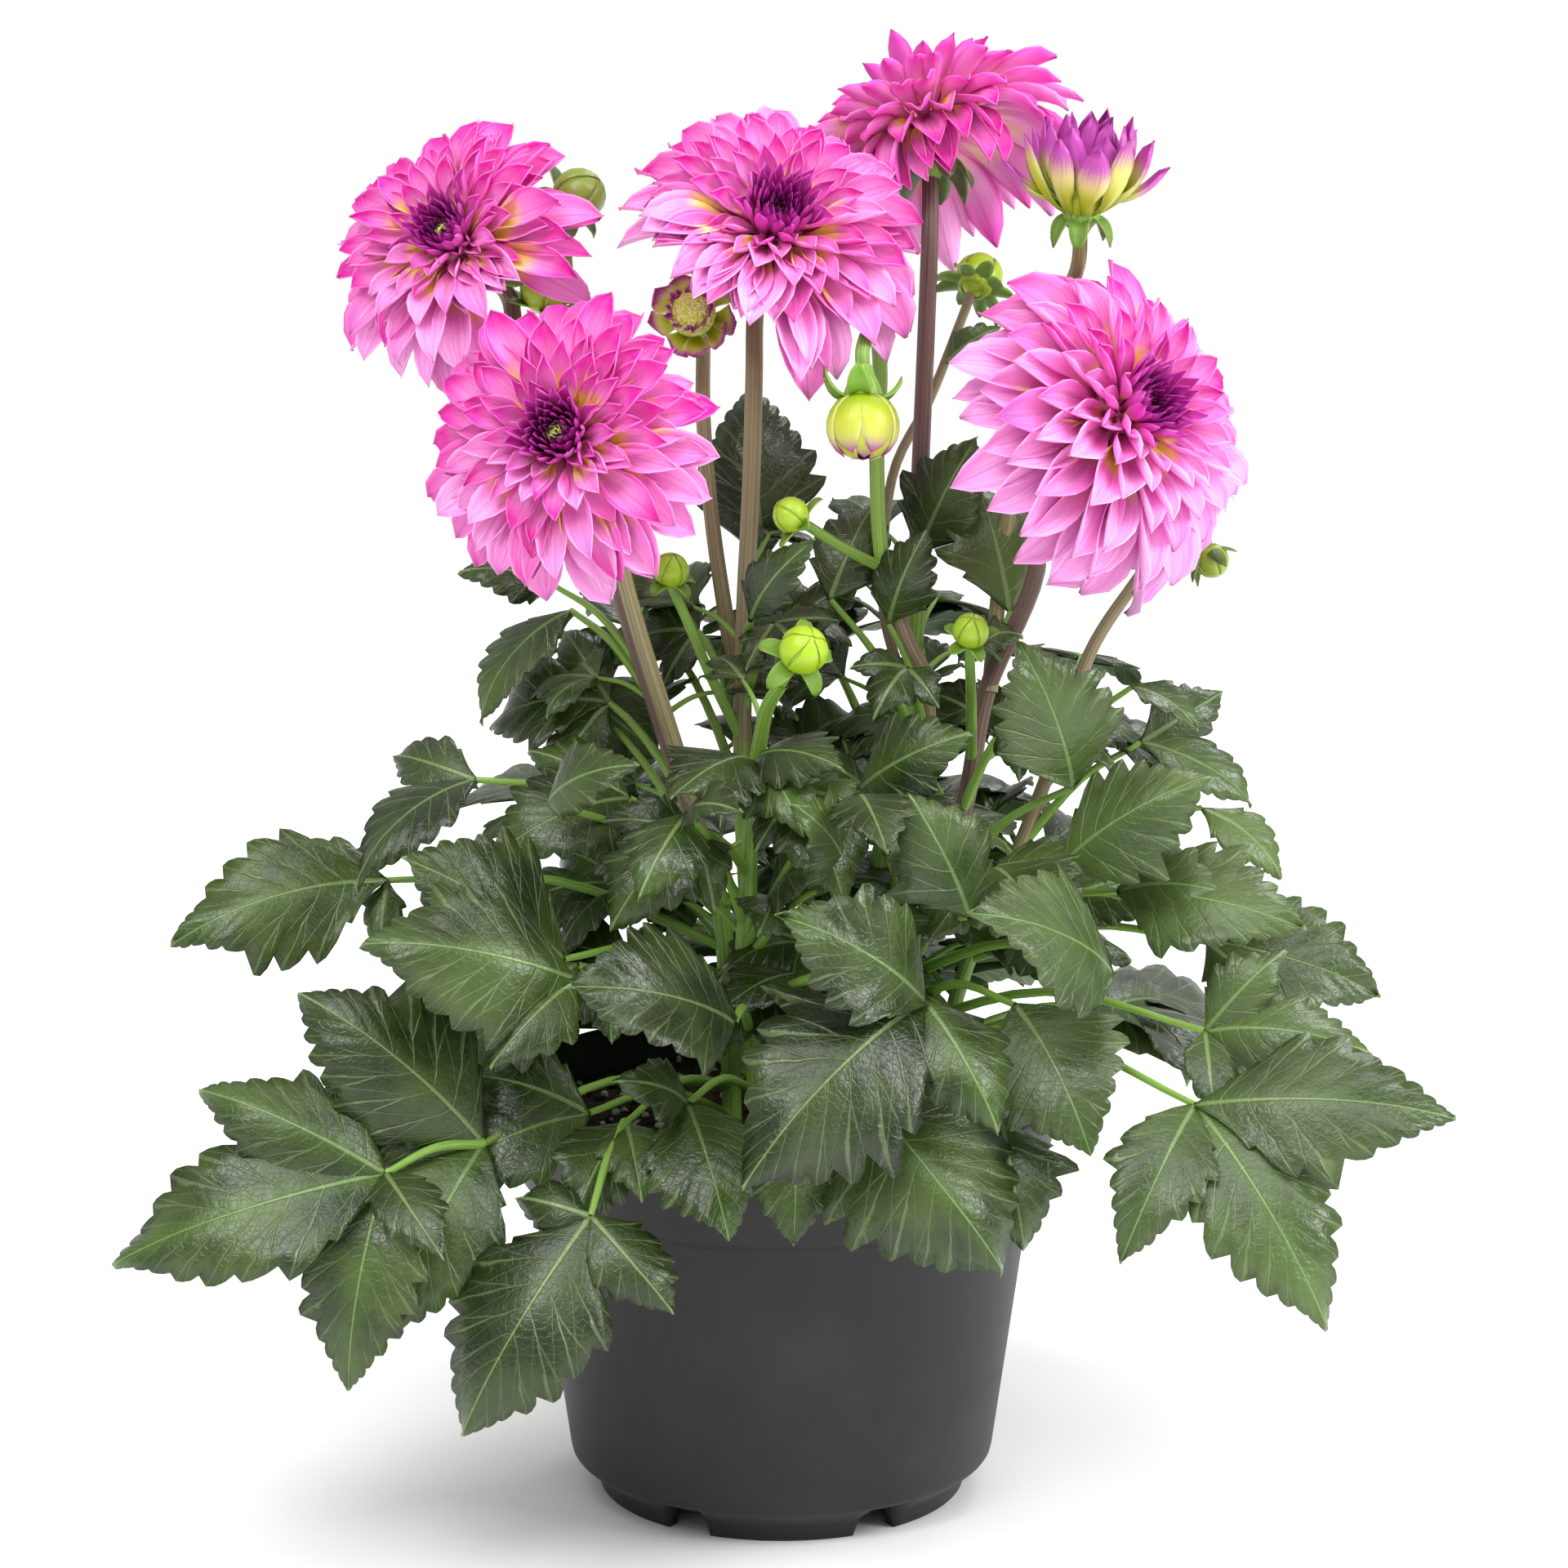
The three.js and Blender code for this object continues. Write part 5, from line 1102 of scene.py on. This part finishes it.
def hugging_scale(piece, centre, axis, radius, bearing, ripe, rng, material, top=0.12):
    """A scale that lies on a bud's side, from its foot to near its top."""
    lift = rng.uniform(1.01, 1.05)

    def place(across, along):
        polar = mix(2.6, top, along)
        half = SCALE_SPREAD * math.sin(math.pi * mix(0.28, 1.0, along)) ** 0.7
        angle = bearing + half * across / max(0.35, math.sin(polar))
        ring = lift * radius * math.sin(polar) * (1 - 0.03 * across * across)
        return beside(centre, axis, 0.98 * lift * radius * math.cos(polar), ring, angle)
    piece.sheet(6, 7, place, rng.random(), ripe, material)


def half_open_flower():
    """Upright lime petals with purple tips round a closed heart, and a few that are bent out."""
    piece = Piece("half_open_petals", [YOUNG_PETAL, YOUNG_PETAL])
    centre, axis, radius = head_of(HALF_OPEN)
    head = (centre, axis)
    rng = random.Random(SEEDS["half_open"])
    round_body(piece, centre, axis, 0.3 * radius, 0, 0)
    for number, ring in enumerate(HALF_OPEN_RINGS):
        for i in range(ring["count"]):
            bearing = TAU * (i + 0.5 * number) / ring["count"] + rng.uniform(-0.12, 0.12)
            root, via, tip = ring["root"], ring["via"], ring["tip"]
            size = radius * rng.uniform(0.93, 1.04)
            petal(piece, head, bearing, (root[0], root[1] * radius), (via[0], via[1] * radius),
                  (tip[0] + rng.uniform(-0.08, 0.08), tip[1] * size), ring["width"] * radius, 1.0,
                  rng.random(), ring["ripe"] + rng.uniform(-0.12, 0.12), rng)
    for bearing, lean in BENT_PETALS:
        petal(piece, head, bearing, (2.0, 0.2 * radius), (1.75, 0.7 * radius), (lean, 1.04 * radius),
              0.19 * radius, 0.9, rng.random(), 0.5, rng)
    piece.finish("young_petals", ["flower_half_open"], PETAL_THICK)


def opening_bud():
    """A lime eye in a ring of short purple petals, wrapped in wide khaki scales."""
    piece = Piece("opening_bud_petals", [YOUNG_PETAL, YOUNG_PETAL, EYE, EYE])
    centre, axis, radius = head_of(OPENING)
    rng = random.Random(SEEDS["opening"])
    round_body(piece, centre + axis * (0.2 * radius), axis, 0.6 * radius, 0, 2, 0.85)
    for i in range(OPENING_PETALS):
        t = i / OPENING_PETALS
        petal(piece, (centre, axis), i * GOLDEN_ANGLE, (1.4, 0.42 * radius), (0.9, 0.66 * radius),
              (mix(0.62, 0.8, t), mix(0.84, 0.96, t) * radius), 0.09 * radius, 1.0, rng.random(), 1.0, rng)
    for i in range(OPENING_SCALES):
        bearing = TAU * i / OPENING_SCALES + rng.uniform(-0.1, 0.1)
        petal(piece, (centre, axis), bearing, (2.7, 0.3 * radius), (1.75, 1.15 * radius),
              (1.35, radius * rng.uniform(1.1, 1.2)), 0.42 * radius, 0.75, rng.random(), 0.42, rng)
    piece.finish("young_petals", ["bud_opening"], PETAL_THICK)


def nodding_bud():
    """A plump bud wrapped in overlapping yellow-green scales."""
    piece = Piece("nodding_bud_scales", [YOUNG_PETAL, YOUNG_PETAL])
    centre, axis, radius = head_of(NODDING)
    rng = random.Random(SEEDS["nodding"])
    round_body(piece, centre + axis * (0.25 * radius), axis, 0.88 * radius, 0.1, 0, 0.8)
    for layer in range(2):
        for i in range(NODDING_SCALES):
            bearing = TAU * (i + 0.5 * layer) / NODDING_SCALES + rng.uniform(-0.1, 0.1)
            hugging_scale(piece, centre + axis * (0.22 * radius), axis, (0.93 + 0.05 * layer) * radius,
                          bearing, rng.uniform(0.0, 0.22) + 0.1 * layer, rng, 0, 0.2 + 0.35 * layer)
    piece.finish("young_petals", ["bud_nodding"], PETAL_THICK)


# Shoots

def shoot(name, seed, stems, buds, leaves, filling, calyxes=(), leaf_ripe_painted_light=1.0, arched=(), back=None,
          lone=None):
    """A shoot with all that it carries. The leaves grow on its first stem."""
    green = Piece(name + "_leaves", [LEAF, LEAF_BACK, BRACT, BRACT, BUD, BUD])
    wood = Piece(name + "_stems", [STEM])
    rng = random.Random(seed)
    path = [flower_stem(wood, **facts) for facts in stems][0]
    for facts in buds:
        closed_bud(green, wood, rng, **facts)
    for facts in calyxes:
        calyx(green, wood, rng, **facts)
    for leaf in leaves:
        # Placed leaves take the shoot's leaf ripeness; below 1 it makes them paler, painted light on the
        # right-hand shoots.
        placed_leaf(green, wood, rng, path, leaf_ripe_painted_light, *leaf)
    for leaf in arched:
        arched_leaf(green, wood, rng, path, Vector(FRONT), *leaf)
    if back:
        back_leaves(green, wood, rng, path, *back)
    filling_leaves(green, wood, rng, path, *filling)
    if lone:
        leaflet(green, *(Vector(place) for place in lone), 0.5, rng, 0.3)
    green.finish("foliage", [name], LEAF_THICK)
    wood.finish("foliage")


# Pot and soil

RIM_RADIUS = 95
POT_HEIGHT = 140
COLLAR_HEIGHT = 33
COLLAR_TAPER = 6.5
COLLAR_STEP = 3.5
WALL = 1.7
WALL_FOOT_RADIUS = 71.5
WALL_FOOT_HEIGHT = 13
BASE_UNDERSIDE = 10
BASE_THICK = 2
FOOT_OUTER_RADIUS = 62
FOOT_INNER_RADIUS = 57
FOOT_COUNT = 6
NOTCH_WIDTH = 14
NOTCH_HEIGHT = 9.5
NOTCH_REACH = 66
DRAIN_RADIUS = 5
DRAIN_CIRCLE = 46
SOIL_LEVEL = 126
SOIL_CROWN = 4
POT_STEPS = 144
BASE_TOP = BASE_UNDERSIDE + BASE_THICK
COLLAR_FOOT = POT_HEIGHT - COLLAR_HEIGHT
COLLAR_RADIUS = RIM_RADIUS - COLLAR_TAPER
WAIST_RADIUS = COLLAR_RADIUS - COLLAR_STEP
SOIL_GAP = 0.3
SOIL_SIDES = 120
SOIL_RINGS = 44
SOIL_WALL_RINGS = 12
GRAIN_COUNT = 620
PERLITE_SHARE = 0.4


def spun(name, profile, materials):
    """A body turned round the pot's axis from points of radius and height."""
    piece = Piece(name, materials)
    verts = [piece.bm.verts.new((radius, 0, height)) for radius, height in profile]
    edges = [piece.bm.edges.new(pair) for pair in zip(verts, verts[1:])]
    bmesh.ops.spin(piece.bm, geom=verts + edges, cent=(0, 0, 0), axis=(0, 0, 1), angle=TAU,
                   steps=POT_STEPS, use_merge=True)
    for face in piece.bm.faces:
        face.smooth = True
    return piece


def pot():
    """A stepped pot with a recess under it, a foot ring cut by notches and a drain hole by each."""
    base_rings = [DRAIN_CIRCLE + DRAIN_RADIUS * share for share in (-1, -0.5, 0, 0.5, 1)]
    profile = [
        (0, BASE_UNDERSIDE), *((ring, BASE_UNDERSIDE) for ring in base_rings),
        (FOOT_INNER_RADIUS - 2, BASE_UNDERSIDE),
        (FOOT_INNER_RADIUS - 0.6, BASE_UNDERSIDE - 0.8), (FOOT_INNER_RADIUS, 0.5),
        (FOOT_INNER_RADIUS + 0.5, 0), (FOOT_OUTER_RADIUS - 0.5, 0), (FOOT_OUTER_RADIUS, 0.5),
        (FOOT_OUTER_RADIUS + 1.5, 6), (WALL_FOOT_RADIUS - 0.9, WALL_FOOT_HEIGHT - 1.3),
        (WALL_FOOT_RADIUS, WALL_FOOT_HEIGHT), (WALL_FOOT_RADIUS + 0.5, WALL_FOOT_HEIGHT + 2),
        (WAIST_RADIUS - 0.4, COLLAR_FOOT - 1), (WAIST_RADIUS + 0.1, COLLAR_FOOT),
        (WAIST_RADIUS + 1.0, COLLAR_FOOT + 1.2),
        (COLLAR_RADIUS - 0.7, COLLAR_FOOT + COLLAR_STEP - 0.6),
        (COLLAR_RADIUS, COLLAR_FOOT + COLLAR_STEP + 0.5), (RIM_RADIUS - 0.9, POT_HEIGHT - 5.2),
        (RIM_RADIUS - 0.2, POT_HEIGHT - 4.4), (RIM_RADIUS, POT_HEIGHT - 1.2),
        (RIM_RADIUS - 0.3, POT_HEIGHT - 0.3), (RIM_RADIUS - 1, POT_HEIGHT),
        (RIM_RADIUS - WALL - 0.4, POT_HEIGHT - 0.3), (RIM_RADIUS - WALL - 0.8, POT_HEIGHT - 2),
        (COLLAR_RADIUS - WALL, COLLAR_FOOT + COLLAR_STEP + 1), (WAIST_RADIUS - WALL, COLLAR_FOOT + 1),
        (WALL_FOOT_RADIUS - WALL, WALL_FOOT_HEIGHT + 2),
        (FOOT_OUTER_RADIUS, BASE_TOP), *((ring, BASE_TOP) for ring in reversed(base_rings)), (0, BASE_TOP),
    ]
    piece = spun("pot_body", profile, [POT])
    apart = TAU / FOOT_COUNT
    for v in piece.bm.verts:
        reach = math.hypot(v.co.x, v.co.y)
        from_notch = (math.atan2(v.co.y, v.co.x) + 0.5 * apart) % apart - 0.5 * apart
        if FOOT_INNER_RADIUS - 1 < reach < NOTCH_REACH and abs(from_notch) * reach < NOTCH_WIDTH / 2:
            v.co.z = max(v.co.z, NOTCH_HEIGHT)
    for i in range(FOOT_COUNT):
        drain(piece.bm, level_at(i * apart, DRAIN_CIRCLE))
    piece.finish("pot_plastic", ["pot"])


def drain(bm, centre):
    """A round hole through the pot's base."""
    def from_centre(place):
        return Vector((place.x - centre.x, place.y - centre.y, 0))
    inside = [face for face in bm.faces if face.calc_center_median().z <= BASE_TOP + 0.1
              and from_centre(face.calc_center_median()).length < DRAIN_RADIUS]
    around = [edge for face in inside for edge in face.edges
              if sum(other in inside for other in edge.link_faces) == 1]
    for v in {v for edge in around for v in edge.verts}:
        v.co += from_centre(v.co).normalized() * DRAIN_RADIUS - from_centre(v.co)
    bmesh.ops.delete(bm, geom=inside, context="FACES_KEEP_BOUNDARY")
    bmesh.ops.bridge_loops(bm, edges=around)


def pot_inside(height):
    """The radius of the pot's inner face at a height."""
    foot = WALL_FOOT_RADIUS - WALL
    waist = WAIST_RADIUS - WALL
    wall_foot = WALL_FOOT_HEIGHT + 2
    if height < COLLAR_FOOT:
        return mix(foot, waist, max(0.0, height - wall_foot) / (COLLAR_FOOT - wall_foot))
    step = COLLAR_FOOT + COLLAR_STEP + 1
    if height < step:
        return mix(waist, waist + COLLAR_STEP, (height - COLLAR_FOOT) / (step - COLLAR_FOOT))
    return mix(waist + COLLAR_STEP, RIM_RADIUS - WALL - 0.8, (height - step) / (POT_HEIGHT - 2 - step))


def soil():
    """Crumbly soil, a little crowned, with pale and dark grains lying on it."""
    piece = Piece("soil_body", [SOIL, PERLITE])
    rng = random.Random(SEEDS["soil"])
    edge = pot_inside(SOIL_LEVEL) - SOIL_GAP

    def level(x, y):
        reach = math.hypot(x, y) / edge
        rough = noise.fractal(Vector((x, y, 0)) * 0.09, 1.0, 2.1, 5)
        return SOIL_LEVEL + SOIL_CROWN * max(0.0, 1 - reach) + 1.3 * rough * (1 - reach ** 6)

    def top(across, along):
        angle = math.pi * across
        reach = edge * along
        x, y = reach * math.cos(angle), reach * math.sin(angle)
        return Vector((x, y, level(x, y)))
    piece.sheet(SOIL_SIDES, SOIL_RINGS, top)

    def wall(across, along):
        angle = math.pi * across
        height = mix(SOIL_LEVEL, BASE_TOP + 3, along)
        reach = pot_inside(height) - SOIL_GAP
        return Vector((reach * math.cos(angle), reach * math.sin(angle), height))
    piece.sheet(SOIL_SIDES, SOIL_WALL_RINGS, wall)

    def floor(across, along):
        spot = wall(across, 1)
        return Vector((spot.x * along, spot.y * along, spot.z))
    piece.sheet(SOIL_SIDES, 2, floor)
    for i in range(GRAIN_COUNT):
        reach = (edge - 3) * math.sqrt(rng.random())
        angle = rng.uniform(0, TAU)
        x, y = reach * math.cos(angle), reach * math.sin(angle)
        size = rng.uniform(0.7, 2.2)
        grain = bmesh.ops.create_icosphere(piece.bm, subdivisions=1, radius=size)["verts"]
        kind = 1 if rng.random() < PERLITE_SHARE else 0
        stretch = Vector((rng.uniform(0.7, 1.3), rng.uniform(0.7, 1.3), rng.uniform(0.5, 0.9)))
        turn = Quaternion((rng.uniform(-1, 1), rng.uniform(-1, 1), rng.uniform(-1, 1)), rng.uniform(0, TAU))
        for v in grain:
            v.co = turn @ Vector([a * b for a, b in zip(v.co, stretch)])
            v.co += Vector((x, y, level(x, y) + 0.25 * size))
            for face in v.link_faces:
                face.material_index = kind
    piece.finish("soil", ["soil"])


# Camera, light and floor

SENSOR_WIDTH = 36
PHOTO_PIXELS = 1920
FOCAL_PIXELS = 6030
SHIFT_PIXELS = 3
CAMERA_PLACE = (0, -1.6, 0.595)
CAMERA_TILT = 0.2165
FLOOR_SIZE = 30
WORLD_STRENGTH = 0.55
SOFT_BOX = dict(kind="AREA", shape="DISK")
LAMPS = [
    dict(name="skylight", kind="SUN", place=(-0.3, -0.8, 1.6), target=(0, 0, 0), energy=1.9,
         angle=math.radians(50)),
    dict(name="key", place=(-1.0, -1.5, 1.9), target=(0, 0, 0.3), energy=11, size=0.7, **SOFT_BOX),
    dict(name="fill", place=(1.8, -0.7, 1.3), target=(0, 0, 0.25), energy=32, size=1.1, **SOFT_BOX),
    dict(name="back", place=(0.8, 1.6, 1.9), target=(0, 0, 0.3), energy=14, size=1.0, **SOFT_BOX),
    dict(name="top", place=(1.0, -0.7, 1.7), target=(0.15, -0.05, 0.2), energy=5, size=0.6, **SOFT_BOX),
]


def camera():
    """The photograph's view: from the front, looking down at the bush."""
    data = bpy.data.cameras.new("camera")
    data.sensor_width = SENSOR_WIDTH
    data.lens = SENSOR_WIDTH * FOCAL_PIXELS / PHOTO_PIXELS
    data.shift_x = SHIFT_PIXELS / PHOTO_PIXELS
    data.clip_end = 100
    turned = (0.5 * math.pi - CAMERA_TILT, 0, 0)
    bpy.context.scene.camera = put("camera", data, CAMERA_PLACE, turned)


def lamp(name, kind, place, target, **settings):
    """A lamp that looks from its place to its target."""
    data = bpy.data.lights.new(name, kind)
    for key, value in settings.items():
        setattr(data, key, value)
    put(name, data, place, (Vector(target) - Vector(place)).to_track_quat("-Z", "Y").to_euler())


def floor_paper(shades):
    return {"Base Color": shades.blend(shades.mottle(3.0), rgb(247, 247, 247), rgb(252, 252, 252))}


def studio():
    """A pale floor that fills the view, with soft light from above and both sides. The skylight keeps
    the floor white to its end."""
    bm = bmesh.new()
    bmesh.ops.create_grid(bm, x_segments=2, y_segments=2, size=FLOOR_SIZE)
    mesh = bpy.data.meshes.new("floor")
    bm.to_mesh(mesh)
    bm.free()
    floor = put("floor", mesh, (0, 0, CAD_BOX[0][2]))
    mesh.materials.append(material("floor_paper", floor_paper, Roughness=0.9))
    world = bpy.data.worlds.new("studio")
    world.use_nodes = True
    background = world.node_tree.nodes["Background"]
    background.inputs["Color"].default_value = (1, 1, 1, 1)
    background.inputs["Strength"].default_value = WORLD_STRENGTH
    bpy.context.scene.world = world
    bpy.context.scene.view_settings.view_transform = "Standard"
    for facts in LAMPS:
        lamp(**facts)


pot()
soil()
for number, (name, facts) in enumerate(SHOOTS.items()):
    shoot(name, SEEDS["shoots"] + number, **facts)
for name, facts in BLOOMS.items():
    bloom_head(name, **facts)
half_open_flower()
opening_bud()
nodding_bud()
camera()
studio()
